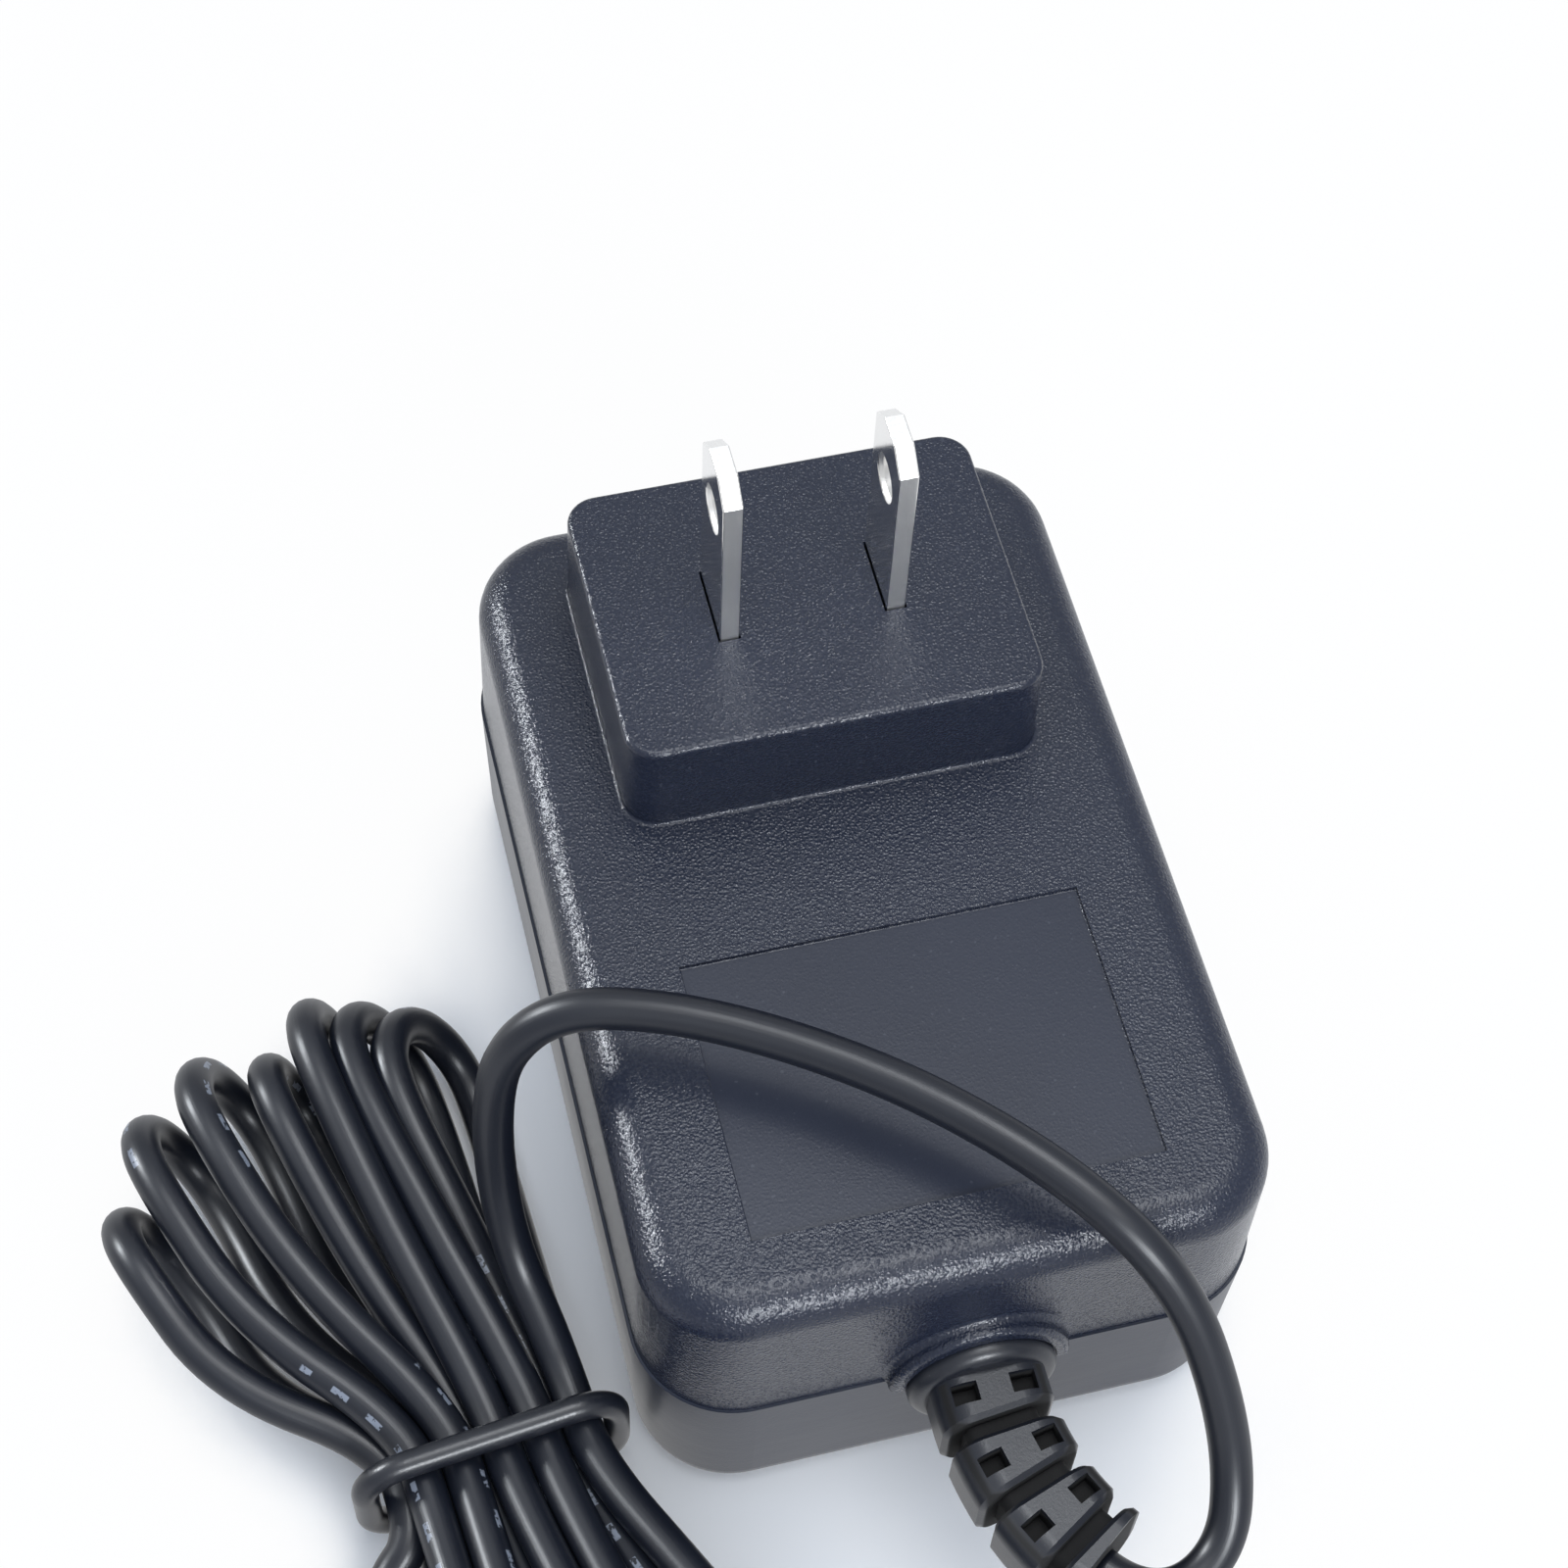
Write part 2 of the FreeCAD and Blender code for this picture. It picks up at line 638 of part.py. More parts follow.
def make_board():
    """The circuit board, with a hole over each peg."""
    body = new_body("circuit_board")
    outline = new_sketch(body, "board_outline", "XY_Plane", "sizes.board_level")
    add_rounded_rectangle(outline, BOARD_WIDTH, BOARD_LENGTH, "sizes.board_corner")
    pad(body, outline, "sizes.board_thickness")
    holes = new_sketch(body, "peg_holes", "XY_Plane", BOARD_TOP)
    add_post_circles(holes, "sizes.peg_radius + sizes.peg_clearance")
    pocket(body, holes, "2 * sizes.board_thickness")


def make_insulation_sheet():
    """The thin sheet under the board, with a hole round each post."""
    body = new_body("insulation_sheet")
    outline = new_sketch(body, "sheet_outline", "XY_Plane", "sizes.wall")
    inset = "2 * (sizes.wall + sizes.sheet_margin)"
    add_rounded_rectangle(outline, f"sizes.body_width - {inset}", f"sizes.body_length - {inset}",
                          "sizes.corner_radius - sizes.wall - sizes.sheet_margin")
    add_post_circles(outline, "sizes.post_radius + sizes.peg_clearance")
    pad(body, outline, "sizes.sheet_thickness")


def make_blade(label, side):
    """A flat blade: chamfered tip with a bevelled hole, a shoulder under the boss roof and a short tail."""
    body = new_body(label)
    across = f"{side}sizes.blade_spacing / 2 - sizes.blade_thickness / 2"
    sketch = new_sketch(body, label + "_outline", "YZ_Plane", across)
    top = f"{BOSS_TOP} + sizes.blade_length"
    low = f"{BOSS_ROOF} - sizes.shoulder_height"
    right = [("sizes.tip_land / 2", top), ("sizes.blade_width / 2", f"{top} - sizes.tip_chamfer")]
    right += [("sizes.blade_width / 2", BOSS_ROOF), ("sizes.shoulder_width / 2", BOSS_ROOF)]
    right += [("sizes.shoulder_width / 2", low), ("sizes.blade_width / 2", low)]
    right += [("sizes.blade_width / 2", f"{low} - sizes.blade_tail")]
    corners = [(f"{BOSS_MIDDLE} + {y}", z) for y, z in right]
    corners += [(f"{BOSS_MIDDLE} - {y}", z) for y, z in reversed(right)]
    outline = [vec(value(y), value(z)) for y, z in corners]
    count = len(outline)
    for index in range(count):
        sketch.addGeometry(Part.LineSegment(outline[index], outline[(index + 1) % count]))
    for index in range(count):
        sketch.addConstraint(Sketcher.Constraint("Coincident", index, 2, (index + 1) % count, 1))
    for index, (y, z) in enumerate(corners):
        bind(sketch, "DistanceX", -1, 1, index, 1, y)
        bind(sketch, "DistanceY", -1, 1, index, 1, z)
    add_circle(sketch, "sizes.blade_hole / 2", BOSS_MIDDLE, f"{BOSS_TOP} + sizes.hole_distance")
    pad(body, sketch, "sizes.blade_thickness")
    bevel_edges(body, label + "_bevel", "sizes.hole_bevel", lambda e: isinstance(e.Curve, Part.Circle))
    roof = value(BOSS_ROOF)

    def is_outside(edge):
        box = edge.BoundBox
        above = box.ZMin > roof - 0.01 and box.ZMax > roof + 0.1
        return above and box.XLength < 0.01 and isinstance(edge.Curve, Part.Line)

    round_edges(body, label + "_edge", "sizes.blade_edge", is_outside)


def make_blade_retainer():
    """The insulating bar that traps both blades' shoulders against the boss roof."""
    body = new_body("blade_retainer")
    level = f"{BOSS_ROOF} - sizes.shoulder_height"
    outline = new_sketch(body, "retainer_outline", "XY_Plane", level)
    add_rectangle(outline, f"{BOSS_INSIDE_WIDTH} - 2 * sizes.retainer_clearance",
                  "sizes.shoulder_width + 2 * sizes.wall", "0", BOSS_MIDDLE)
    for side in ("", "-"):
        add_rectangle(outline, "sizes.blade_thickness + 2 * sizes.blade_clearance",
                      "sizes.blade_width + 2 * sizes.blade_clearance",
                      f"{side}sizes.blade_spacing / 2", BOSS_MIDDLE)
    pad(body, outline, "sizes.retainer_thickness", True)


def relief_stations():
    """Where the tail's centre line lies and heads, by distance from the flange."""
    straight = size("tail_straight")
    radius = size("tail_bend_radius")
    start = vec(size("relief_shift"), -value(END_FACE) - size("flange_depth"), value(PARTING))
    length = straight + radius * math.radians(size("tail_bend"))

    def station(distance):
        if distance <= straight:
            return start - Y * distance, -Y
        angle = (distance - straight) / radius
        position = start - Y * (straight + radius * math.sin(angle)) + X * (radius * (1 - math.cos(angle)))
        return position, X * math.sin(angle) - Y * math.cos(angle)

    return station, length


def make_strain_relief():
    """Anchor, neck, flange and a bent tail of grooved segments with windows either side of a spine."""
    mid = size("relief_shift")
    level = value(PARTING)
    face = -value(END_FACE)
    inner = -size("body_length") / 2 + size("wall") + size("anchor_clearance")
    flange = Part.makeCylinder(size("flange_radius"), size("flange_depth"), vec(mid, face, level), -Y)
    rim = [e for e in flange.Edges if abs(middle_of(e).y - face + size("flange_depth")) < 0.01]
    flange = flange.makeFillet(size("flange_edge"), rim)
    neck = Part.makeCylinder(size("neck_radius"), inner - face, vec(mid, face, level), Y)
    anchor = Part.makeCylinder(size("anchor_radius"), size("anchor_depth"), vec(mid, inner, level), Y)
    body = flange.fuse([neck, anchor, relief_tail()])
    new_shape("strain_relief", one_solid(body))


def relief_tail():
    """The bent tail, with a groove between segments and windows in the middle of each segment."""
    station, length = relief_stations()
    straight = size("tail_straight")
    start, heading = station(0.0)
    bend_start = station(straight)[0]
    bend_mid = station((straight + length) / 2)[0]
    end = station(length)[0]
    run = Part.LineSegment(start, bend_start).toShape()
    spine = Part.Wire([run, Part.Arc(bend_start, bend_mid, end).toShape()])
    section = rounded_rectangle(size("tail_width"), size("tail_depth"), size("tail_corner"),
                                facing(start, heading))
    tail = spine.makePipeShell([section], True, False)
    cuts = []
    for number in range(int(size("rib_count"))):
        place = facing(*station(size("first_rib") + number * size("rib_pitch")))
        cuts += relief_groove(place) if number % 2 else relief_windows(place)
    return tail.cut(cuts)


def relief_groove(place):
    """A groove all round the tail, down to a core round the lead, with bevelled lips."""
    depth = size("groove_depth")
    lip = size("groove_lip")
    outside = -size("lip_clearance")
    half = size("groove_width") / 2

    def outline(along, inset):
        lower = FreeCAD.Placement(vec(0, 0, along), FreeCAD.Rotation())
        return rounded_rectangle(size("tail_width") - 2 * inset, size("tail_depth") - 2 * inset,
                                 size("tail_corner") - inset, place.multiply(lower))

    block = Part.Face(outline(-half - lip, -size("tail_corner")))
    block = block.extrude(place.Rotation.multVec(Z) * 2 * (half + lip))
    kept = (((-half - lip, outside), (-half, lip)),
            ((-half, depth), (half, depth)),
            ((half, lip), (half + lip, outside)))
    return [block.cut([Part.makeLoft([outline(*low), outline(*high)], True, True) for low, high in kept])]


def relief_windows(place):
    """Four square windows, either side of the spine on top and underneath."""
    width = size("window_width")
    length = size("window_length")
    tall = 2 * size("window_depth")
    windows = []
    for side_x in (-1, 1):
        for side_y in (-1, 1):
            mid_x = side_x * (size("spine_width") + width) / 2
            mid_y = side_y * size("tail_depth") / 2
            box = solid_box(width, tall, length, mid_x, mid_y, -length / 2)
            box.Placement = place.multiply(box.Placement)
            windows.append(box)
    return windows


# The lead's corners as it lies, from the strain relief's mouth up over the cover and down to the hank. The
# lead, the hank and the plug move along with that mouth.
LEAD_POINTS = [
    (4.8, -51.8, 15.7), (6.4, -54.0, 15.7), (10.2, -54.9, 16.0), (13.8, -52.6, 17.3), (15.0, -48.5, 20.5),
    (14.5, -44.7, 25.6), (12.9, -40.5, 31.3), (9.8, -36.2, 35.6), (4.8, -29.9, 37.0), (-2.4, -22.8, 37.3),
    (-10.6, -16.9, 37.3), (-18.2, -13.0, 37.2), (-24.6, -11.0, 36.3), (-28.9, -11.3, 32.3),
    (-30.3, -12.9, 25.6), (-30.6, -15.3, 18.6), (-30.2, -18.6, 13.6), (-29.0, -23.0, 11.0),
]
# The lead's other end, from the hank to the plug
END_POINTS = [(-41.5, -33.5, 5.2), (-44.0, -37.6, 4.6), (-46.2, -42.6, 5.0), (-47.8, -48.0, 5.0)]
# Cross-sections of the hank: middle, heading, width, underside and top
HANK_SECTIONS = [
    ((-46.2, 9.2), 110.0, 16.0, 0.15, 8.0),
    ((-45.3, 4.6), 110.0, 28.5, 0.15, 13.5),
    ((-43.6, -6.3), 107.0, 28.0, 0.15, 13.0),
    ((-39.2, -20.2), 101.0, 23.0, 0.8, 11.5),
    ((-34.7, -31.2), 96.0, 16.9, 2.3, 10.5),
    ((-30.8, -42.5), 92.0, 24.5, 0.8, 11.5),
    ((-28.4, -56.0), 90.0, 31.5, 0.15, 13.0),
    ((-28.5, -67.0), 90.0, 32.0, 0.15, 13.5),
    ((-28.5, -72.0), 90.0, 20.0, 0.15, 8.0),
]
TIE_SECTION = HANK_SECTIONS[4]


def laid(point):
    """A point of the lead's lay, moved along with the strain relief's mouth."""
    station, length = relief_stations()
    mouth = station(length)[0]
    return vec(point[0] + mouth.x - LEAD_POINTS[0][0], point[1] + mouth.y - LEAD_POINTS[0][1], point[2])


def level_heading(degrees):
    return X * math.cos(math.radians(degrees)) + Y * math.sin(math.radians(degrees))


def hank_shape():
    """The outer form of the folded lead: waisted at the tie and fanned out at both ends."""
    wires = []
    for (x, y), heading, width, low, high in HANK_SECTIONS:
        place = facing(laid((x, y, (low + high) / 2)), level_heading(heading))
        wires.append(rounded_rectangle(width, high - low, size("hank_corner") * (high - low), place))
    return Part.makeLoft(wires, True, False)


def make_lead():
    """The free lead, the hank, its other end, and the tie round the hank."""
    radius = size("lead_diameter") / 2
    station, length = relief_stations()
    points = [station(length)[0]] + [laid(point) for point in LEAD_POINTS[1:]]
    hank = hank_shape()
    free = lead_tube("lead", points, radius)
    new_shape("lead_free", one_solid(free.cut(hank)))
    new_shape("lead_hank", hank)
    points = [laid(point) for point in END_POINTS]
    end = lead_tube("lead end", points, radius)
    new_shape("lead_end", one_solid(end.cut(hank)))
    make_tie()


def lead_tube(name, points, radius):
    radii = [bend_radius(*points[index - 1:index + 2]) for index in range(1, len(points) - 1)]
    print(name, "arc radii", [round(r, 1) for r in radii])
    path = rounded_path(points, radii)
    print(name, "length", round(path.Length, 1))
    return tube(path, radius)


def make_tie():
    """The round tie, a closed ring that clears the hank's waist."""
    (x, y), heading, width, low, high = TIE_SECTION
    radius = size("tie_diameter") / 2
    grow = 2 * (radius + size("tie_clearance"))
    corner = size("hank_corner") * (high - low) + grow / 2
    place = facing(laid((x, y, (low + high) / 2)), level_heading(heading))
    path = rounded_rectangle(width + grow, high - low + grow, corner, place)
    new_shape("hank_tie", tube(path, radius))


def make_plug():
    """The barrel plug on the lead's other end: grip with its boot, sleeve, insulator and contact."""
    points = [laid(point) for point in END_POINTS]
    heading = (points[-1] - points[-2]).normalize()
    start = points[-1]
    boot = Part.makeCone(size("boot_radius"), size("boot_end_radius"), size("boot_length"), start, heading)
    grip_start = start + heading * size("boot_length")
    grip = Part.makeCylinder(size("grip_radius"), size("grip_length"), grip_start, heading)
    grip = grip.makeFillet(size("grip_edge"), [e for e in grip.Edges if len(e.Vertexes) == 1])
    new_shape("plug_grip", one_solid(grip.fuse(boot)))
    face = grip_start + heading * size("grip_length")
    outer = size("sleeve_radius")
    inner = outer - size("sleeve_wall")
    reach = size("sleeve_length")
    contact_outer = size("pin_bore_radius") + size("contact_wall")
    new_shape("plug_sleeve", ring(outer, inner, reach, face, heading))
    new_shape("plug_insulator", ring(inner, contact_outer, reach, face, heading))
    new_shape("plug_contact", ring(contact_outer, size("pin_bore_radius"), reach, face, heading))


def ring(outer, inner, length, start, heading):
    bore = Part.makeCylinder(inner, length, start, heading)
    return Part.makeCylinder(outer, length, start, heading).cut(bore)


# Parts on the board: the middle of each footprint, as shares of the board's width and length
FUSE = (0.296, 0.386)
THERMISTOR = (-0.232, 0.442)
FILTER = (-0.245, 0.3135)
CHOKE = (0.2835, 0.241)
BRIDGE = (-0.0515, 0.164)
BULK = ((-0.348, 0.153), (-0.348, -0.024))
TRANSFORMER = (0.0387, -0.0643)
PRIMARY_SINK = (0.469, 0.0)
SECONDARY_SINK = (0.469, -0.3103)
CHIP = (-0.348, -0.185)
COUPLER = (-0.3686, -0.3055)
SAFETY = (0.3763, -0.193)
OUTPUT_CAPACITORS = ((-0.116, -0.3135), (0.116, -0.3135))
OUTPUT_CHOKE = (-0.2964, -0.402)
INPUT_PADS = ((-0.0825, 0.466), (0.0825, 0.466))
OUTPUT_PAD_ROW = -0.442


def on_board(place):
    """A place on the board, from its shares of the board's sides."""
    return place[0] * value(BOARD_WIDTH), place[1] * value(BOARD_LENGTH)


def fitted(alias):
    """A size of a part on the board, less where the board is smaller than the layout's."""
    return size(alias) * value(FIT)


def make_board_boxes():
    """The parts that are plain blocks or cans on the board."""
    blocks = [("filter_capacitor", "filter_width", "filter_depth", "filter_height", FILTER)]
    blocks.append(("bridge_rectifier", "bridge_width", "bridge_depth", "bridge_height", BRIDGE))
    blocks.append(("control_chip", "chip_width", "chip_length", "chip_height", CHIP))
    blocks.append(("optocoupler", "coupler_length", "coupler_width", "chip_height", COUPLER))
    for name, width, length, height, (x, y) in blocks:
        sides = [f"sizes.{side} * {FIT}" for side in (width, length, height)]
        sub_parts.append(new_box(name, *sides, f"{x} * {BOARD_WIDTH}", f"{y} * {BOARD_LENGTH}", BOARD_TOP))
    sub_parts.append(new_cylinder("input_fuse", f"sizes.fuse_radius * {FIT}", f"sizes.fuse_height * {FIT}",
                                  f"{FUSE[0]} * {BOARD_WIDTH}", f"{FUSE[1]} * {BOARD_LENGTH}", BOARD_TOP))
    for name, place in zip(("bulk_capacitor_a", "bulk_capacitor_b"), BULK):
        make_can(name, "bulk_radius", "bulk_height", place)
    for name, place in zip(("output_capacitor_a", "output_capacitor_b"), OUTPUT_CAPACITORS):
        make_can(name, "output_radius", "output_height", place)


def make_can(name, radius, height, place):
    """An electrolytic can: rounded top and the crimped waist above its seal."""
    x, y = on_board(place)
    wide = fitted(radius)
    tall = fitted(height)
    waist = 0.09 * tall
    edge = 0.12 * wide
    outline = [vec(0, 0, 0), vec(wide, 0, 0), vec(wide, 0, waist), vec(wide - edge, 0, 1.5 * waist)]
    outline += [vec(wide, 0, 2 * waist), vec(wide, 0, tall - edge)]
    outline += [vec(wide - edge, 0, tall), vec(0, 0, tall)]
    face = Part.Face(Part.makePolygon(outline + [outline[0]]))
    new_shape(name, face.revolve(vec(0, 0, 0), Z, 360), vec(x, y, value(BOARD_TOP)))


def make_disc_part(name, radius, depth, stand, place):
    """A coated disc that stands on two legs."""
    x, y = on_board(place)
    board = value(BOARD_TOP)
    disc = Part.makeCylinder(radius, depth, vec(x, y - depth / 2, board + stand + radius), Y)
    edge = 0.3 * depth
    disc = disc.makeFillet(edge, [e for e in disc.Edges if len(e.Vertexes) == 1])
    legs = []
    for side in (-0.5, 0.5):
        legs.append(upright_cylinder(fitted("leg_radius"), stand + radius, x + side * radius, y, board))
    new_shape(name, one_solid(disc.fuse(legs)))


def make_choke():
    """A ring core on edge with two windings round it."""
    x, y = on_board(CHOKE)
    outer = fitted("choke_outer")
    inner = fitted("choke_inner")
    depth = fitted("choke_depth")
    coat = fitted("choke_coat")
    gap = size("choke_clearance")
    level = value(BOARD_TOP) + outer + gap + coat
    centre = vec(x, y, level)
    core = ring(outer, inner, depth, centre - Y * (depth / 2), Y)
    new_shape("choke_core", core)
    for name, start in (("choke_winding_a", 0.0), ("choke_winding_b", 180.0)):
        sleeve = choke_section(outer + gap + coat, inner - gap - coat, depth + 2 * (gap + coat))
        hole = choke_section(outer + gap, inner - gap, depth + 2 * gap)
        face = sleeve.cut(hole)
        face.rotate(vec(0, 0, 0), Y, start - size("choke_sweep") / 2)
        face.translate(centre)
        new_shape(name, face.revolve(centre, Y, size("choke_sweep")).Solids[0])


def choke_section(outer, inner, depth):
    """One side of the ring's cross-section, in the XY plane."""
    corners = [vec(inner, -depth / 2), vec(outer, -depth / 2), vec(outer, depth / 2), vec(inner, depth / 2)]
    return Part.Face(Part.makePolygon(corners + [corners[0]]))


def make_transformer():
    """Two E-shaped core halves round a bobbin with its winding, on the bobbin's pin rails."""
    x, y = on_board(TRANSFORMER)
    gap = size("bobbin_clearance")
    wall = fitted("bobbin_wall")
    thick = fitted("core_thickness")
    leg = fitted("core_leg")
    width = fitted("core_width")
    half = fitted("core_length") / 2
    flange = fitted("bobbin_flange")
    board = value(BOARD_TOP)
    level = board + fitted("bobbin_rail") + flange / 2
    window = half - leg
    for name, way in (("transformer_core_front", -1), ("transformer_core_rear", 1)):
        back = solid_box(width, leg, thick, x, y + way * (half - leg / 2), level - thick / 2)
        legs = [solid_box(thick, window, thick, x, y + way * window / 2, level - thick / 2)]
        for side in (-1, 1):
            mid = x + side * (width - leg) / 2
            legs.append(solid_box(leg, window, thick, mid, y + way * window / 2, level - thick / 2))
        new_shape(name, one_solid(back.fuse(legs)))
    sleeve = thick + 2 * (gap + wall)
    length = 2 * (window - gap)
    hole = solid_box(thick + 2 * gap, 2 * length, thick + 2 * gap, x, y, level - thick / 2 - gap)
    bobbin = solid_box(sleeve, length, sleeve, x, y, level - sleeve / 2)
    wide = width - 2 * leg - 2 * gap
    for way in (-1, 1):
        mid = y + way * (length - wall) / 2
        plate = solid_box(wide, wall, flange, x, mid, level - flange / 2)
        rail_width = fitted("sink_foot")
        rail_mid = mid + way * (rail_width - wall) / 2
        rail = solid_box(wide, rail_width, fitted("bobbin_rail"), x, rail_mid, board)
        bobbin = bobbin.fuse([plate, rail])
    new_shape("transformer_bobbin", one_solid(bobbin.cut(hole)))
    spread = length - 2 * wall
    round_size = flange - 2 * fitted("winding_inset")
    block = solid_box(wide - 2 * fitted("winding_inset"), spread, round_size, x, y, level - round_size / 2)
    long_edges = [e for e in block.Edges if e.BoundBox.YLength > spread / 2]
    block = block.makeFillet(fitted("winding_edge"), long_edges)
    core = solid_box(sleeve, spread, sleeve, x, y, level - sleeve / 2)
    new_shape("transformer_winding", block.cut(core))


def make_power_part(sink_name, case_name, place, length):
    """A bent heat sink at the board's edge, with a tabbed power device flat against it."""
    x, y = on_board(place)
    thick = fitted("sink_thickness")
    board = value(BOARD_TOP)
    plate = solid_box(thick, length, fitted("sink_height"), x, y, board)
    shelf = solid_box(fitted("sink_foot"), length, thick, x - fitted("sink_foot") / 2 + thick / 2, y,
                      board + fitted("sink_height") - thick)
    new_shape(sink_name, one_solid(plate.fuse(shelf)))
    stand = fitted("case_stand")
    side = x - thick / 2
    tab = solid_box(fitted("tab_thickness"), fitted("case_width"), fitted("case_height") + fitted("tab_rise"),
                    side - fitted("tab_thickness") / 2, y, board + stand)
    case = solid_box(fitted("case_depth"), fitted("case_width"), fitted("case_height"),
                     side - fitted("case_depth") / 2, y, board + stand)
    legs = []
    for step in (-1, 0, 1):
        legs.append(upright_cylinder(fitted("leg_radius"), stand + fitted("tab_thickness"),
                                     side - fitted("case_depth") / 2, y + step * fitted("leg_pitch"), board))
    new_shape(case_name, one_solid(case.fuse([tab] + legs)))


def make_output_choke():
    """A drum core with its winding, revolved as one piece."""
    x, y = on_board(OUTPUT_CHOKE)
    wide = fitted("drum_radius")
    tall = fitted("drum_height")
    waist = fitted("drum_winding")
    rim = 0.15 * tall
    outline = [vec(0, 0, 0), vec(wide, 0, 0), vec(wide, 0, rim), vec(waist, 0, rim)]
    outline += [vec(waist, 0, tall - rim), vec(wide, 0, tall - rim), vec(wide, 0, tall), vec(0, 0, tall)]
    face = Part.Face(Part.makePolygon(outline + [outline[0]]))
    new_shape("output_choke", face.revolve(vec(0, 0, 0), Z, 360), vec(x, y, value(BOARD_TOP)))


def make_wires():
    """The wires from the blades to the board, and from the lead's end to the board."""
    radius = size("wire_radius")
    board = value(BOARD_TOP)
    tail = value(BOSS_ROOF) - size("shoulder_height") - size("blade_tail")
    mid = value(BOSS_MIDDLE)
    lateral = value(ROOF) - size("wire_drop")
    for name, side, place in zip(("input_wire_left", "input_wire_right"), (-1, 1), INPUT_PADS):
        x, y = on_board(place)
        start = vec(side * size("blade_spacing") / 2, mid, tail)
        points = [start, vec(start.x, start.y, lateral), vec(x, y, lateral), vec(x, y, board)]
        make_wire(name, points, radius)
    inner = -size("body_length") / 2 + size("wall") + size("anchor_clearance") + size("anchor_depth")
    level = value(PARTING)
    for name, side in (("output_wire_left", -1), ("output_wire_right", 1)):
        x = size("relief_shift") + side * size("wire_spread")
        y = OUTPUT_PAD_ROW * value(BOARD_LENGTH)
        make_wire(name, [vec(x, inner, level), vec(x, y, level), vec(x, y, board)], radius)


def make_wire(name, points, radius):
    radii = [size("wire_bend")] * (len(points) - 2)
    new_shape(name, tube(rounded_path(points, radii), radius))


make_cover()
make_base()
make_blade("blade_left", "-")
make_blade("blade_right", "")
make_blade_retainer()
make_strain_relief()
make_lead()
make_plug()
make_board()
make_insulation_sheet()
make_board_boxes()
make_disc_part("inrush_thermistor", fitted("thermistor_radius"), fitted("thermistor_depth"),
               fitted("disc_stand"), THERMISTOR)
make_disc_part("safety_capacitor", fitted("safety_radius"), fitted("safety_depth"),
               fitted("disc_stand"), SAFETY)
make_choke()
make_transformer()
make_power_part("primary_heat_sink", "switching_transistor", PRIMARY_SINK, fitted("primary_sink_length"))
make_power_part("secondary_heat_sink", "output_rectifier", SECONDARY_SINK, fitted("secondary_sink_length"))
make_output_choke()
make_wires()

doc.recompute()
for item in doc.Objects:
    if "Invalid" in item.State or "Error" in item.State:
        raise ValueError(f"{item.Name} is {item.State}")
for part in sub_parts:
    if part.Shape.isNull() or not part.Shape.isValid():
        raise ValueError(f"{part.Label} has no valid shape")
os.makedirs("parts", exist_ok=True)
for part in sub_parts:
    part.Shape.exportStep(os.path.join("parts", part.Label + ".step"))
    box = part.Shape.optimalBoundingBox()
    print(part.Label, len(part.Shape.Solids), "solid", round(part.Shape.Volume, 1),
          [round(v, 1) for v in (box.XMin, box.XMax, box.YMin, box.YMax, box.ZMin, box.ZMax)])
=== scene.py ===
# %% [markdown]
# The battery charger lies on the flat back of its housing, with its two mains blades up and its lead folded
# into a hank beside it. The solids could be modelled again here, but the frame brings them in at their real
# sizes: the housing, the blades, the strain relief and what is inside. So only the lead is made here, and the
# finishes. Everything is in metres, in the same frame as the solids.

# %% Frame
import math

import bpy
import numpy as np
from mathutils import Matrix, Vector


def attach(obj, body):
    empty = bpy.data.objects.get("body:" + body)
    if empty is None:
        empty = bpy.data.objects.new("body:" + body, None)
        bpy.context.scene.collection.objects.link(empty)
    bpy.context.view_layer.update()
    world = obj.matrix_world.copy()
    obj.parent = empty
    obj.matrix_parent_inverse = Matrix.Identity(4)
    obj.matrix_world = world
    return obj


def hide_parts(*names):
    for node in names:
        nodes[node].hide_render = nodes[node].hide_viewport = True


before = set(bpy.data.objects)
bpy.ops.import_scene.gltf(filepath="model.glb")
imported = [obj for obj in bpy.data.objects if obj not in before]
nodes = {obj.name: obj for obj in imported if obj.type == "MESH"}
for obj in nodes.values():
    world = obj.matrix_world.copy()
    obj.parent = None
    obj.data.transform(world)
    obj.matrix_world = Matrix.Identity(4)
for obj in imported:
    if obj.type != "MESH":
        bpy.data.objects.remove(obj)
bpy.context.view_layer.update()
MM = 0.001

# %% [markdown]
# The camera stands where the photograph was taken from: near the lead's end, a little to the left, looking
# steeply down. It could be aimed at the object with a constraint, but a turning worked out once from the
# blades and the housing's corners also gives its tilt. The columns of the turning are what lies to its right,
# above it and behind it.

# %% Camera
CAMERA_PLACE = Vector((-40.115, -112.212, 228.209)) * MM
CAMERA_RIGHT = Vector((0.96967, -0.24229, 0.03216))
CAMERA_UP = Vector((0.18862, 0.82549, 0.53197))
CAMERA_BACK = Vector((-0.15544, -0.50977, 0.84615))
camera_data = bpy.data.cameras.new("camera")
camera_data.lens = 71.41
camera_data.sensor_width = 36.0
camera_data.clip_start = 0.01
camera = bpy.data.objects.new("camera", camera_data)
bpy.context.scene.collection.objects.link(camera)
turning = Matrix((CAMERA_RIGHT, CAMERA_UP, CAMERA_BACK)).transposed()
camera.matrix_world = Matrix.Translation(CAMERA_PLACE) @ turning.to_4x4()
bpy.context.scene.camera = camera
bpy.context.scene.view_settings.view_transform = "Standard"
print(f"camera {CAMERA_PLACE.length:.3f} m from the middle of the housing's back")

# %% [markdown]
# The lead comes out of the strain relief, turns back over the housing and goes down into the hank. A
# simulated rope could find its own way, but it wouldn't come to lie as this one does, so the route's corners
# are given in millimetres, few and far apart. Its other end runs from the hank to the plug.

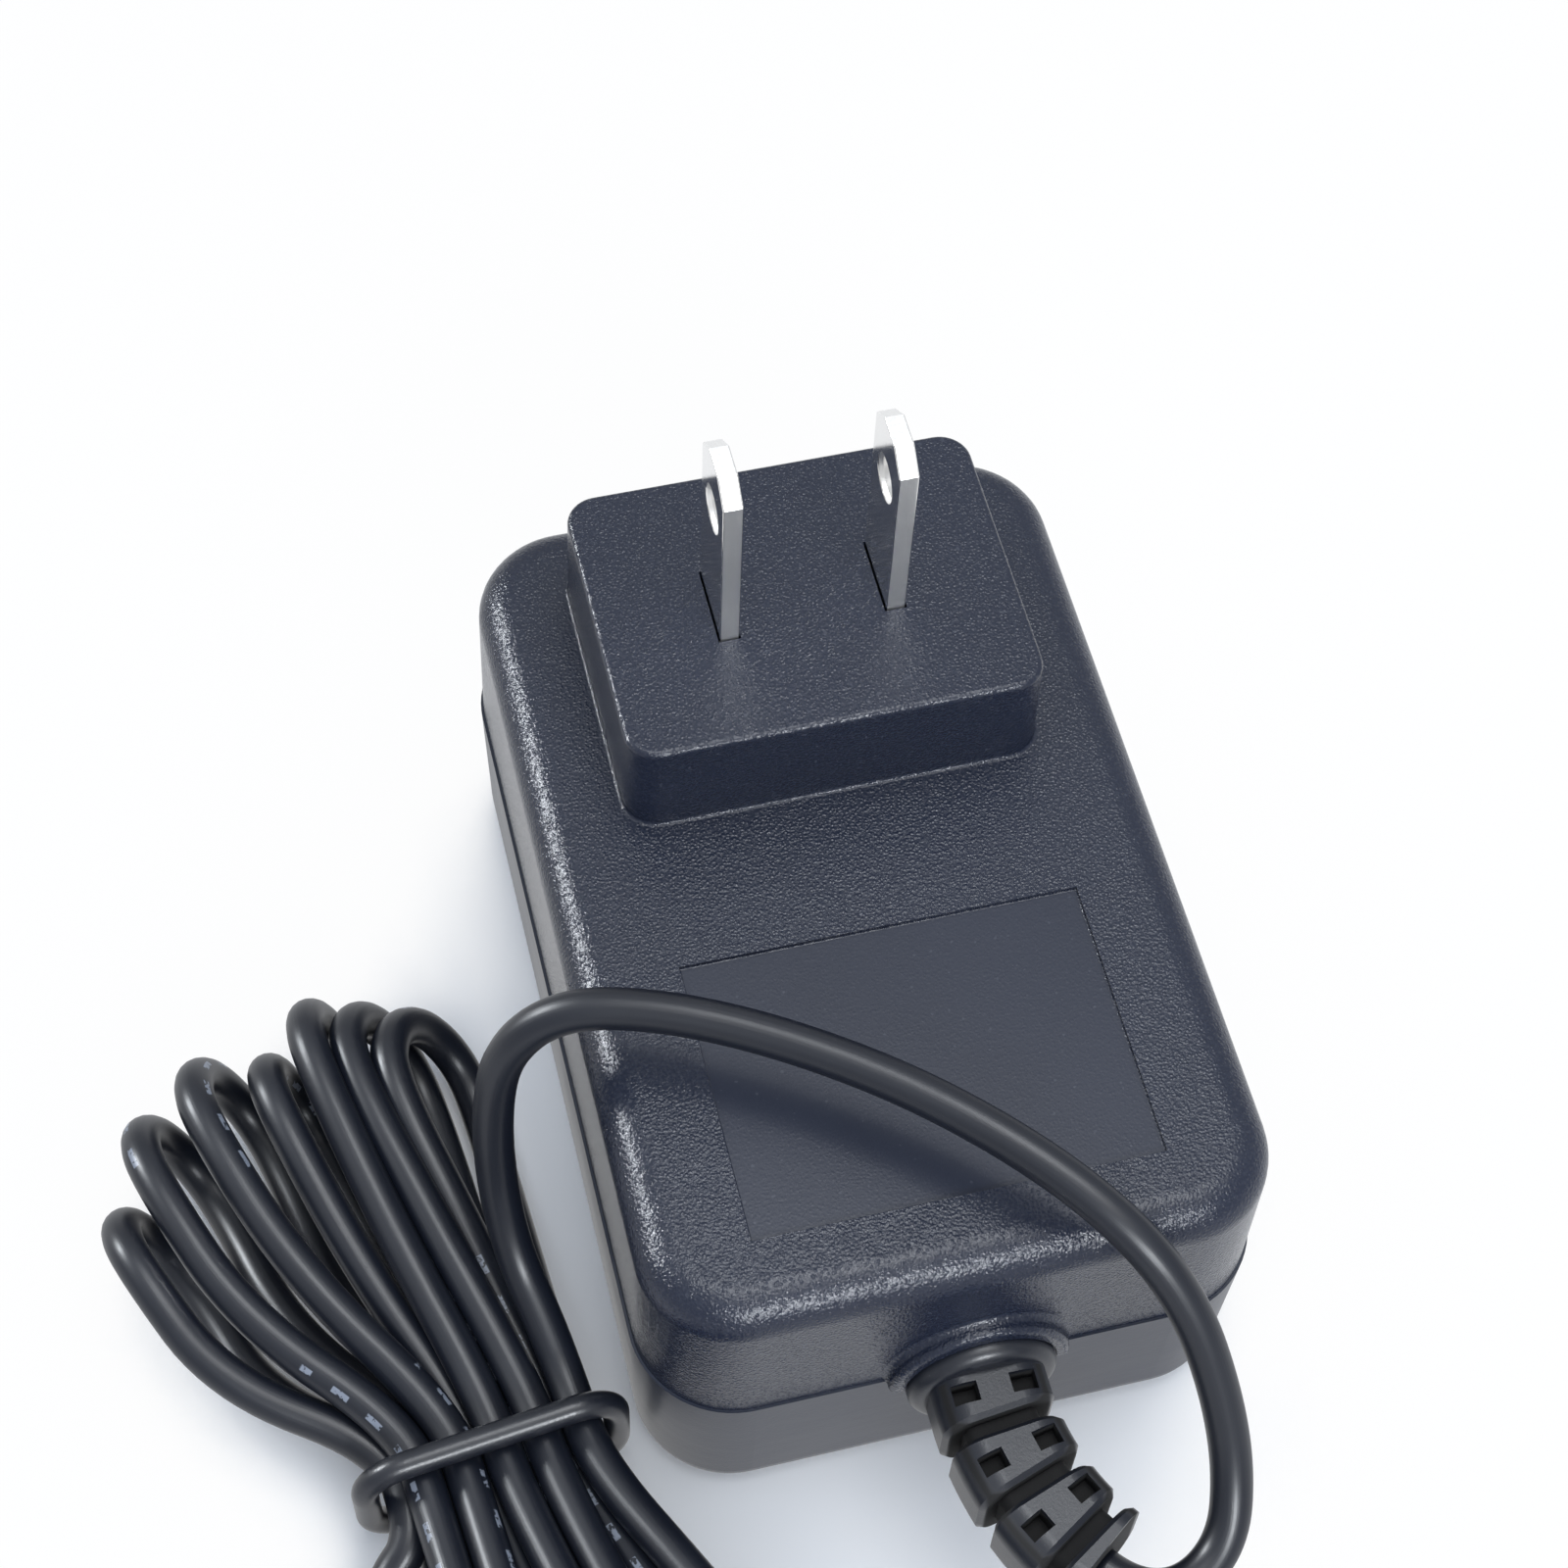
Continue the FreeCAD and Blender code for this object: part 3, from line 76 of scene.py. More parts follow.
# %% The lead's own route
LEAD_POINTS = [
    (4.8, -51.8, 15.7), (6.4, -54.0, 15.7), (10.2, -54.9, 16.0), (13.8, -52.6, 17.3), (15.0, -48.5, 20.5),
    (14.5, -44.7, 25.6), (12.9, -40.5, 31.3), (9.8, -36.2, 35.6), (4.8, -29.9, 37.0), (-2.4, -22.8, 37.3),
    (-10.6, -16.9, 37.3), (-18.2, -13.0, 37.2), (-24.6, -11.0, 36.3), (-28.9, -11.3, 32.3),
    (-30.3, -12.9, 25.6), (-30.6, -15.3, 18.6), (-30.2, -18.6, 13.6), (-29.0, -23.0, 11.0),
]
END_POINTS = [(-44.0, -37.6, 4.6), (-46.2, -42.6, 5.0), (-47.8, -48.0, 5.0)]
LEAD_DIAMETER = 3.0
print(f"{len(LEAD_POINTS)} corners before the hank and {len(END_POINTS)} after it")

# %% [markdown]
# The hank: the lead passes the tie fifteen times, in three rows. Between two passes it makes a U-turn, and
# the turns fan out from the tie at both ends. Every corner could be written down, but a turn is known from
# where its tip lies, its height and its lean, so those are given and the corners follow.

# %% The hank's places
TIE_MIDDLE = np.array([-34.7, -31.2, 6.4])
TIE_HEADING = math.radians(96.0)
ALONG = np.array([math.cos(TIE_HEADING), math.sin(TIE_HEADING), 0.0])
RIGHT = np.array([ALONG[1], -ALONG[0], 0.0])
UP = np.array([0.0, 0.0, 1.0])
ROW_RISE = 2.58
TIE_REACH = 3.6
STRAND_GAP = 3.05

# Where the strands pass the tie: how far to the right, and in which row
DOWN_PLACES = [(6.86, 1), (5.34, 0), (3.81, 1), (0.76, 1), (-0.76, 0), (-2.29, 1), (-5.34, 1), (-6.86, 0)]
UP_PLACES = [(6.86, -1), (3.81, -1), (2.29, 0), (0.76, -1), (-2.29, -1), (-3.81, 0), (-5.34, -1)]

# The outer end of each turn on the bench, half its height, its lean and its swing to the right in degrees,
# and how far its strands belly out on their way from the tie
FAR_TURNS = [
    ((-33.3, 6.6), 6.3, 33, 0, 0.0), ((-37.0, 7.9), 6.0, 26, 0, 0.0), ((-41.0, 8.6), 6.2, 17, 0, 0.4),
    ((-45.4, 5.0), 5.6, 16, 4, 0.8), ((-50.4, 5.6), 6.3, 22, 10, 1.8), ((-55.4, 1.8), 6.0, 22, 15, 2.8),
    ((-58.4, -5.4), 5.6, 20, 20, 3.6),
]
NEAR_TURNS = [
    ((-15.6, -63.5), 6.0, 18, 0, 0.0), ((-18.8, -67.5), 6.2, 18, 0, 0.0), ((-23.2, -69.6), 5.8, 18, 0, 0.0),
    ((-27.6, -70.8), 6.3, 18, 0, 0.0), ((-32.0, -70.6), 5.9, 18, 0, 0.0), ((-36.3, -69.4), 6.2, 18, 0, 0.0),
    ((-40.2, -66.8), 5.8, 18, 0, 0.0),
]
print(f"{len(DOWN_PLACES) + len(UP_PLACES)} passes at the tie, {len(FAR_TURNS) + len(NEAR_TURNS)} turns")

# %% [markdown]
# A turn is half of an eight-sided loop, whose corners the smooth line rounds off. It leans over like a strand
# that rests on the next, with its upper strand to the left.

# %% One turn
HALF_LOOP = [math.radians(angle) for angle in (-90, -45, 0, 45, 90)]
LOOP_FLAT = math.cos(math.radians(22.5))
TIP_CLEARANCE = 0.1


def place_at_tie(place):
    """The middle of a strand where it passes the tie."""
    across, row = place
    return TIE_MIDDLE + RIGHT * across + UP * (row * ROW_RISE)


def turn_points(tip, half, lean_degrees, swing_degrees, belly, low_strand, high_strand):
    """The corners of one U-turn, from its lower strand to its upper one, with those on the way to the tie."""
    lean = math.radians(lean_degrees)
    heading = math.atan2(tip[1] - TIE_MIDDLE[1], tip[0] - TIE_MIDDLE[0]) - math.radians(swing_degrees)
    reach = np.array([math.cos(heading), math.sin(heading), 0.0])
    left = np.array([-reach[1], reach[0], 0.0])
    rise = UP * math.cos(lean) + left * math.sin(lean)
    middle = np.array([tip[0], tip[1], 0.0]) - reach * (half + LEAD_DIAMETER / 2)
    middle[2] = LEAD_DIAMETER / 2 + half * math.cos(lean) + TIP_CLEARANCE
    corner = half / LOOP_FLAT
    turn = [middle + reach * (corner * math.cos(a)) + rise * (corner * math.sin(a)) for a in HALF_LOOP]
    low_way = (low_strand + turn[0]) / 2 + left * belly
    high_way = (high_strand + turn[-1]) / 2 + left * belly
    return [low_way] + turn + [high_way]


# %% [markdown]
# The whole lead is one list of corners: the free stretch, then a turn near the camera and a turn far from it,
# time after time, with a pass through the tie between them, and last the end that goes to the plug.

# %% The whole route


def lead_points():
    """All the corners of the lead, and for each whether it may still move."""
    points = [np.array(point) for point in LEAD_POINTS]
    free = [False] * len(points)

    def add(new_points, may_move):
        points.extend(np.array(point) for point in new_points)
        free.extend([may_move] * len(new_points))

    def pass_tie(place, way):
        middle = place_at_tie(place)
        add([middle - ALONG * (way * TIE_REACH), middle + ALONG * (way * TIE_REACH)], False)

    pass_tie(DOWN_PLACES[0], -1)
    for number in range(len(UP_PLACES)):
        coming = place_at_tie(DOWN_PLACES[number]) - ALONG * TIE_REACH
        going = place_at_tie(UP_PLACES[number]) - ALONG * TIE_REACH
        add(turn_points(*NEAR_TURNS[number], going, coming)[::-1], True)
        pass_tie(UP_PLACES[number], 1)
        coming = place_at_tie(UP_PLACES[number]) + ALONG * TIE_REACH
        going = place_at_tie(DOWN_PLACES[number + 1]) + ALONG * TIE_REACH
        add(turn_points(*FAR_TURNS[number], coming, going), True)
        pass_tie(DOWN_PLACES[number + 1], -1)
    add(END_POINTS, False)
    return np.array(points), np.array(free)


# %% [markdown]
# Real strands lie against each other and never in each other. Blender's soft bodies could settle them, but
# slowly, so strands that are too near are pushed apart here, a little at a time, and none goes below the
# bench. A strand's line is measured between its corners, and the push is shared out to the corners near it.

# %% Settling the hank
BENCH_CLEARANCE = 0.05
PUSH_STRENGTH = 1.2
PULL_BACK = 0.12


def line_weights(count, steps=3):
    """For each sample of the line, how much each corner counts in it."""
    weights = np.zeros(((count - 2) * steps, count))
    for row in range(len(weights)):
        first, step = divmod(row, steps)
        share = step / steps
        weights[row, first] = 0.5 * (1 - share) ** 2
        weights[row, first + 1] = 0.5 + share * (1 - share)
        weights[row, first + 2] = 0.5 * share ** 2
    return weights


def settle(points, free, rounds=120):
    """Moves the free corners until the strands lie beside each other."""
    weights = line_weights(len(points))
    total = weights.sum(axis=0)[:, None] + 1e-9
    may_move = free[:, None].astype(float)
    settled = points.copy()
    for _ in range(rounds):
        line = weights @ settled
        steps = np.linalg.norm(np.diff(line, axis=0), axis=1)
        travelled = np.concatenate([[0.0], np.cumsum(steps)])
        apart = line[:, None, :] - line[None, :, :]
        distance = np.linalg.norm(apart, axis=2)
        far_along = np.abs(travelled[:, None] - travelled[None, :]) > 3 * LEAD_DIAMETER
        too_near = far_along & (distance < STRAND_GAP)
        push = np.where(too_near, (STRAND_GAP - distance) / 2, 0.0) / np.maximum(distance, 1e-6)
        neighbours = np.maximum(too_near.sum(axis=1), 1)
        move = (apart * push[:, :, None]).sum(axis=1)
        move *= (np.minimum(neighbours, 2) / neighbours)[:, None]
        move[:, 2] += np.maximum(0.0, LEAD_DIAMETER / 2 + BENCH_CLEARANCE - line[:, 2])
        settled += (weights.T @ move) / total * PUSH_STRENGTH * may_move
        shift = settled - points
        shift[1:-1] = 0.5 * shift[1:-1] + 0.25 * (shift[:-2] + shift[2:])
        settled += (points + shift - settled) * PULL_BACK * may_move
    return settled


# %% [markdown]
# The route is one open spline, which rounds the corners as a limp cord would. Its own bevel could draw the
# jacket, but that gives no way to tell how far along a point is. So the line that the spline draws is read.

# %% The lead's line


def spline_line(points):
    """The points of the smooth line that one spline draws through its corners."""
    curve = bpy.data.curves.new("route", "CURVE")
    curve.dimensions = "3D"
    curve.resolution_u = 10
    spline = curve.splines.new("NURBS")
    spline.points.add(len(points) - 1)
    for target, point in zip(spline.points, points):
        target.co = (*(point * MM), 1.0)
    spline.order_u = 3
    spline.use_endpoint_u = True
    route = bpy.data.objects.new("route", curve)
    bpy.context.scene.collection.objects.link(route)
    bpy.context.view_layer.update()
    mesh = bpy.data.meshes.new_from_object(route.evaluated_get(bpy.context.evaluated_depsgraph_get()))
    line = [vertex.co.copy() for vertex in mesh.vertices]
    bpy.data.objects.remove(route)
    bpy.data.curves.remove(curve)
    bpy.data.meshes.remove(mesh)
    return line


lead_line = spline_line(settle(*lead_points()))
lead_length = sum((after - before).length for before, after in zip(lead_line, lead_line[1:]))
print(f"the lead is {lead_length:.3f} m long")

# %% [markdown]
# The jacket is a round tube along that line. Each ring is turned as little as possible from the one before
# it, so the tube doesn't twist. Its surface carries how far along and how far round each point is, for the
# fine lines and marks.

# %% The lead
LEAD_SIDES = 20


def round_tube(name, line, radius, sides):
    """A closed round tube along a line, with its length and its turn as a UV map."""
    side = (line[1] - line[0]).orthogonal().normalized()
    corners = []
    travelled = [0.0]
    for index, point in enumerate(line):
        ahead = line[min(index + 1, len(line) - 1)] - line[max(index - 1, 0)]
        ahead.normalize()
        side = (side - ahead * side.dot(ahead)).normalized()
        other = ahead.cross(side)
        for step in range(sides):
            angle = 2 * math.pi * step / sides
            corners.append(point + (side * math.cos(angle) + other * math.sin(angle)) * radius)
        if index:
            travelled.append(travelled[-1] + (point - line[index - 1]).length)
    faces = []
    turns = []
    for ring in range(len(line) - 1):
        for step in range(sides):
            following = (step + 1) % sides
            low, high = ring * sides, (ring + 1) * sides
            faces.append((low + step, low + following, high + following, high + step))
            near, far = travelled[ring], travelled[ring + 1]
            first, second = step / sides, (step + 1) / sides
            turns += [(near, first), (near, second), (far, second), (far, first)]
    faces.append(tuple(reversed(range(sides))))
    faces.append(tuple(len(corners) - sides + step for step in range(sides)))
    turns += [(travelled[0], 0.5)] * sides + [(travelled[-1], 0.5)] * sides
    mesh = bpy.data.meshes.new(name)
    mesh.from_pydata(corners, [], faces)
    layer = mesh.uv_layers.new(name="along")
    for loop, turn in enumerate(turns):
        layer.data[loop].uv = turn
    mesh.shade_smooth()
    piece = bpy.data.objects.new(name, mesh)
    bpy.context.scene.collection.objects.link(piece)
    return piece


lead = round_tube("lead", lead_line, LEAD_DIAMETER / 2 * MM, LEAD_SIDES)
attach(lead, "root")
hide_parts("lead_free", "lead_hank", "lead_end")
print(f"its jacket has {len(lead.data.polygons)} faces")

# %% [markdown]
# A finish is a small network of nodes. It could be drawn by hand in the shader editor, or made in code, node
# by node, which takes many lines. Here a value in a network is added and multiplied like a number, and each
# sum makes its own nodes.

# %% Values of a network


class Value:
    """The output of a node, which takes part in sums."""

    def __init__(self, shader, socket):
        self.shader = shader
        self.socket = socket

    def combine(self, operation, *others):
        return self.shader.add("Math", {"operation": operation}, self, *others)

    def __add__(self, other):
        return self.combine("ADD", other)

    def __radd__(self, other):
        return self + other

    def __sub__(self, other):
        return self.combine("SUBTRACT", other)

    def __rsub__(self, other):
        return self * -1.0 + other

    def __mul__(self, other):
        return self.combine("MULTIPLY", other)

    def __rmul__(self, other):
        return self * other

    def __truediv__(self, other):
        return self.combine("DIVIDE", other)

    def __abs__(self):
        return self.combine("ABSOLUTE")

    def power(self, other):
        return self.combine("POWER", other)

    def wave(self, pitch):
        """Up to 1 and back to 0 once in every pitch."""
        return (self * (2 * math.pi / pitch)).combine("SINE") * 0.5 + 0.5

    def step(self, low, high):
        """0 below low, 1 above high and a smooth rise between them."""
        return self.shader.add("MapRange", {"interpolation_type": "SMOOTHSTEP"}, self, low, high, 0.0, 1.0)


# %% [markdown]
# One class holds a material with its main surface, and one method makes every other kind of node. Patterns
# read the position on the object, so that they keep their real size and stay where they are.

# %% Materials


class Shader:
    """A material with one main surface."""

    def __init__(self, name, **constants):
        self.material = bpy.data.materials.new(name)
        self.material.use_nodes = True
        self.tree = self.material.node_tree
        self.surface = self.tree.nodes["Principled BSDF"]
        self.set(**constants)

    def join(self, value, socket):
        if isinstance(value, Value):
            self.tree.links.new(value.socket, socket)
        else:
            socket.default_value = value

    def set(self, **inputs):
        """Sets or links inputs of the surface; an underscore stands for a space."""
        for name, value in inputs.items():
            self.join(value, self.surface.inputs[name.replace("_", " ")])

    def add(self, kind, settings, *inputs, output=0):
        """A node of any kind, with its settings and its inputs in their order; None leaves one as it is."""
        node = self.tree.nodes.new("ShaderNode" + kind)
        for name, setting in settings.items():
            setattr(node, name, setting)
        for socket, value in zip(node.inputs, inputs):
            if value is not None:
                self.join(value, socket)
        return Value(self, node.outputs[output])

    def place(self):
        """The position on the object."""
        return self.add("TexCoord", {}, output=3)

    def axes(self):
        """The position's three numbers."""
        place = self.place()
        return [self.add("SeparateXYZ", {}, place, output=index) for index in range(3)]

    def stretched(self, x, y, z):
        """The position with its axes scaled, for grain that runs one way."""
        return self.add("Mapping", {}, self.place(), None, None, (x, y, z))

    def noise(self, scale, detail=2.0, roughness=0.5, vector=None):
        return self.add("TexNoise", {}, vector or self.place(), None, scale, detail, roughness)

    def cells(self, scale):
        """Distance to the nearest of scattered points."""
        return self.add("TexVoronoi", {}, self.place(), None, scale)

    def mix(self, share, first, second):
        """A colour between two others."""
        node = self.tree.nodes.new("ShaderNodeMix")
        node.data_type = "RGBA"
        self.join(share, node.inputs[0])
        self.join(first, node.inputs[6])
        self.join(second, node.inputs[7])
        return Value(self, node.outputs[2])

    def relief(self, *layers):
        """Layers of height, each with the distance it stands out in metres, as one bumped surface."""
        normal = None
        for height, distance in layers:
            node = self.tree.nodes.new("ShaderNodeBump")
            node.inputs["Strength"].default_value = 1.0
            node.inputs["Distance"].default_value = distance
            self.join(height, node.inputs["Height"])
            if normal:
                self.join(normal, node.inputs["Normal"])
            normal = Value(self, node.outputs[0])
        self.set(Normal=normal)


def colour(red, green, blue):
    return (red, green, blue, 1.0)


def dress(names, shader):
    """Gives solids of the frame a material."""
    for name in names:
        nodes[name].material_slots[0].material = shader.material
    print(f"{shader.material.name}: {', '.join(names)}")


# %% [markdown]
# The cover is a blue-black moulding with a fine pebbled surface: small domes close together, with finer grain
# on them. The domes could be cut into the mesh, but at a quarter of a millimetre each they would be millions
# of faces, so they are bump. The recessed panel near the lead's end is smoother.

# %% Cover
PANEL_HALF_WIDTH = 15.0 * MM
PANEL_HALF_LENGTH = 10.95 * MM
PANEL_MIDDLE_Y = -17.7 * MM
PANEL_FLOOR = 30.4 * MM
FADE = 0.1 * MM


def pebbled_plastic():
    shader = Shader("pebbled_plastic", Specular_IOR_Level=0.42)
    x, y, z = shader.axes()
    inside_x = 1.0 - abs(x).step(PANEL_HALF_WIDTH - FADE, PANEL_HALF_WIDTH)
    inside_y = 1.0 - abs(y - PANEL_MIDDLE_Y).step(PANEL_HALF_LENGTH - FADE, PANEL_HALF_LENGTH)
    above = z.step(PANEL_FLOOR - 2 * FADE, PANEL_FLOOR - FADE)
    below = 1.0 - z.step(PANEL_FLOOR + FADE, PANEL_FLOOR + 2 * FADE)
    panel = inside_x * inside_y * above * below
    grain = 1.0 - panel * 0.85
    wander = shader.noise(900.0, 2.0)
    domes = 1.0 - shader.cells(3700.0).step(0.05, 0.62)
    pits = shader.noise(4000.0, 3.0, 0.65)
    broad = shader.noise(90.0, 3.0)
    tint = shader.mix(broad, colour(0.012, 0.017, 0.035), colour(0.016, 0.022, 0.044))
    speck = shader.noise(2400.0, 0.0).step(0.78, 0.84)
    # painted sparkle: the finer grain's raised spots are lighter, standing in for light glinting on them
    painted_grain_sparkle = shader.mix(pits.step(0.45, 0.75) * grain * 0.5, tint, colour(0.045, 0.053, 0.078))
    shader.set(Base_Color=shader.mix(speck * 0.3, painted_grain_sparkle, colour(0.10, 0.11, 0.14)))
    shader.set(Roughness=0.20 + (broad - 0.5) * 0.06 + panel * 0.16)
    shader.relief((domes * (0.6 + wander * 0.8) * grain, 0.027 * MM), (pits * grain, 0.052 * MM))
    return shader


dress(["upper_shell"], pebbled_plastic())

# %% [markdown]
# The base and the small insulating parts are smoother mouldings. Each could have a network of its own, but
# they share what the process leaves: a slow drift of tone, a fine satin grain and faint flow lines. Only the
# colours and the gloss differ.

# %% Smooth mouldings


def moulding(name, dark, pale, roughness):
    shader = Shader(name, Specular_IOR_Level=0.5)
    broad = shader.noise(70.0, 3.0)
    flow = shader.noise(150.0, 3.0, 0.6, shader.stretched(1.0, 1.0, 6.0))
    fine = shader.noise(4200.0, 3.0, 0.6)
    shader.set(Base_Color=shader.mix(broad * 0.6 + flow * 0.4, dark, pale))
    shader.set(Roughness=roughness + (broad - 0.5) * 0.12 + (flow - 0.5) * 0.06)
    shader.relief((fine, 0.012 * MM), (flow, 0.01 * MM))
    return shader


MOULDINGS = {
    "lower_shell": ("satin_plastic", colour(0.008, 0.014, 0.032), colour(0.012, 0.019, 0.040), 0.36),
    "blade_retainer": ("natural_nylon", colour(0.66, 0.63, 0.56), colour(0.76, 0.74, 0.68), 0.42),
    "plug_insulator": ("plug_core", colour(0.012, 0.012, 0.014), colour(0.02, 0.02, 0.023), 0.38),
    "transformer_bobbin": ("phenolic", colour(0.02, 0.018, 0.017), colour(0.034, 0.03, 0.028), 0.3),
    "input_fuse": ("fuse_can", colour(0.16, 0.07, 0.035), colour(0.22, 0.10, 0.05), 0.25),
    "filter_capacitor": ("yellow_box", colour(0.68, 0.42, 0.04), colour(0.78, 0.52, 0.07), 0.3),
}
for solid, finish in MOULDINGS.items():
    dress([solid], moulding(*finish))

# %% [markdown]
# The blades are nickel-plated brass. A plain metal would look like chrome, and what tells a stamped blade is
# its wear: fine scratches along the wide faces, and narrow faces that are rougher, because they were sheared.

# %% Bright metal


def nickel_plate(name, shine, cut=None, lengthways=(14.0, 14.0, 1.0)):
    """Plated metal; cut marks where it is sheared."""
    shader = Shader(name, Metallic=1.0)
    scratches = shader.noise(240.0, 4.0, 0.65, shader.stretched(*lengthways))
    patches = shader.noise(160.0, 3.0)
    shader.set(Base_Color=shader.mix(patches, colour(0.80, 0.79, 0.77), colour(0.89, 0.88, 0.86)))
    roughness = shine + (patches - 0.5) * 0.08 + (scratches - 0.5) * 0.08
    height = scratches
    if cut:
        sheared = cut(shader)
        tears = shader.noise(900.0, 3.0, 0.6, shader.stretched(3.0, 3.0, 1.0))
        roughness = roughness + sheared * 0.3
        height = scratches + sheared * tears * 3.0
    shader.set(Roughness=roughness)
    shader.relief((height, 0.006 * MM))
    return shader


BLADE_FROM_MIDDLE = 6.35 * MM


def narrow_faces(shader):
    """1 between the wide faces of either blade, 0 on them."""
    x = shader.axes()[0]
    return 1.0 - abs(abs(x) - BLADE_FROM_MIDDLE).step(0.64 * MM, 0.72 * MM)


dress(["blade_left", "blade_right"], nickel_plate("nickel_plate", 0.12, narrow_faces))
dress(["plug_sleeve", "plug_contact"], nickel_plate("turned_nickel", 0.16, None, (1.0, 1.0, 30.0)))

# %% [markdown]
# The strain relief, the tie and the plug's grip are satin black rubber with a little dust. Deep grooves and
# windows hold less light than a render gives them, so painted shade darkens those of the strain relief, told
# by how far a place is from the line that the tail bends along. The grip has a band of moulded ribs, fine
# enough for bump.

# %% Rubber
RUBBER_START = -37.6 * MM
GRIP_START = Vector((-50.07, -55.67, 5.0)) * MM
GRIP_HEADING = Vector((-0.284, -0.959, 0.0))
BEND_MIDDLE = Vector((22.6, -38.87, 15.7)) * MM
BEND_RADIUS = 22.0 * MM
TAIL_HALF_WIDTH = 4.3 * MM
TAIL_HALF_DEPTH = 3.8 * MM


def satin_rubber(name, roughness, ribs=None, groove_shade=None):
    shader = Shader(name, Specular_IOR_Level=0.5)
    broad = shader.noise(180.0, 3.0)
    fine = shader.noise(5200.0, 3.0, 0.6)
    speck = 1.0 - shader.cells(1400.0).step(0.05, 0.12)
    base = shader.mix(broad, colour(0.010, 0.012, 0.019), colour(0.016, 0.019, 0.028))
    base = shader.mix(speck * 0.12, base, colour(0.16, 0.165, 0.18))
    roughness = roughness + (broad - 0.5) * 0.14
    if groove_shade:
        inside = groove_shade(shader)
        # painted shade: the grooves and windows of the tail are darkened to near black
        base = shader.mix(inside, base, colour(0.002, 0.002, 0.003))
        roughness = roughness + inside * 0.45
    shader.set(Base_Color=base, Roughness=roughness)
    layers = [(fine, 0.012 * MM)]
    if ribs:
        layers.insert(0, (ribs(shader), 0.3 * MM))
    shader.relief(*layers)
    return shader


def grip_ribs(shader):
    """Ribs round the grip, over the middle of its length."""
    x, y, z = shader.axes()
    along = (x - GRIP_START.x) * GRIP_HEADING.x + (y - GRIP_START.y) * GRIP_HEADING.y
    middle = along.step(3.5 * MM, 4.0 * MM) * (1.0 - along.step(14.0 * MM, 14.5 * MM))
    return along.wave(1.5 * MM) * middle


def relief_groove_shade(shader):
    """Painted shade: 1 in the grooves and windows of the strain relief's tail, 0 on its outer faces."""
    x, y, z = shader.axes()
    bend_x, bend_y = x - BEND_MIDDLE.x, (y - BEND_MIDDLE.y).combine("MINIMUM", 0.0)
    across = abs((bend_x.power(2.0) + bend_y.power(2.0)).power(0.5) - BEND_RADIUS) / TAIL_HALF_WIDTH
    upright = abs(z - BEND_MIDDLE.z) / TAIL_HALF_DEPTH
    outside = across.combine("MAXIMUM", upright).step(0.84, 0.93)
    return (1.0 - outside) * (1.0 - y.step(RUBBER_START, RUBBER_START + FADE))


dress(["strain_relief"], satin_rubber("relief_rubber", 0.36, None, relief_groove_shade))
dress(["hank_tie"], satin_rubber("tie_rubber", 0.34))
dress(["plug_grip"], satin_rubber("grip_rubber", 0.38, grip_ribs))

# %% [markdown]
# The lead's jacket is smooth satin black, with fine lines along it from the die that it was drawn through,
# and a broken row of short pale dashes along one side. These follow the lead through every turn, so they
# read how far along and how far round the tube a point is, and not its position.

# %% Lead jacket


def drawn_jacket():
    shader = Shader("drawn_jacket", Specular_IOR_Level=0.5)
    turn = shader.add("UVMap", {"uv_map": "along"})
    along = shader.add("SeparateXYZ", {}, turn, output=0)
    around = shader.add("SeparateXYZ", {}, turn, output=1)
    lines = shader.noise(1.6, 3.0, 0.6, shader.add("Mapping", {}, turn, None, None, (40.0, 30.0, 1.0)))
    fine = shader.noise(5200.0, 2.0)
    broad = shader.noise(120.0, 3.0)
    row = 1.0 - abs(around - 0.3).step(0.022, 0.030)
    dash = along.wave(3.4 * MM).step(0.55, 0.62) * along.wave(52.0 * MM).step(0.30, 0.31)
    worn = shader.noise(2600.0, 2.0).step(0.38, 0.5)
    base = shader.mix(broad, colour(0.005, 0.007, 0.014), colour(0.008, 0.011, 0.020))
    shader.set(Base_Color=shader.mix(row * dash * worn * 0.8, base, colour(0.30, 0.34, 0.42)))
    shader.set(Roughness=0.38 + (lines - 0.5) * 0.1 + (broad - 0.5) * 0.06)
    shader.relief((lines, 0.012 * MM), (fine, 0.004 * MM))
    return shader


lead.data.materials.append(drawn_jacket().material)

# %% [markdown]
# Inside the housing the board is tan laminate with copper fields and solder joints underneath. Its tracks
# could be drawn one by one, but nobody sees them in a closed housing, so cells of a scattered pattern stand
# for them. Below it lies a dark insulating film.

# %% Board and film


def laminate():
    shader = Shader("laminate", Specular_IOR_Level=0.5)
    x, y, z = shader.axes()
    fibres = shader.noise(420.0, 4.0, 0.65, shader.stretched(1.0, 3.0, 1.0))
    weave = x.wave(0.5 * MM) * y.wave(0.5 * MM)
    under = 1.0 - z.step(5.22 * MM, 5.3 * MM)
    edges = shader.add("TexVoronoi", {"feature": "DISTANCE_TO_EDGE"}, shader.place(), None, 150.0)
    copper = edges.step(0.05, 0.07) * under
    solder = (1.0 - shader.cells(330.0).step(0.16, 0.20)) * under
    tan = shader.mix(fibres, colour(0.36, 0.25, 0.11), colour(0.46, 0.34, 0.17))
    tracks = shader.mix(copper, tan, colour(0.30, 0.17, 0.07))
    shader.set(Base_Color=shader.mix(solder, tracks, colour(0.72, 0.72, 0.74)))
    shader.set(Metallic=solder, Roughness=0.45 - copper * 0.1 - solder * 0.1 + (fibres - 0.5) * 0.1)
    shader.relief((copper + solder * 4.0, 0.035 * MM), (weave + fibres, 0.01 * MM))
    return shader


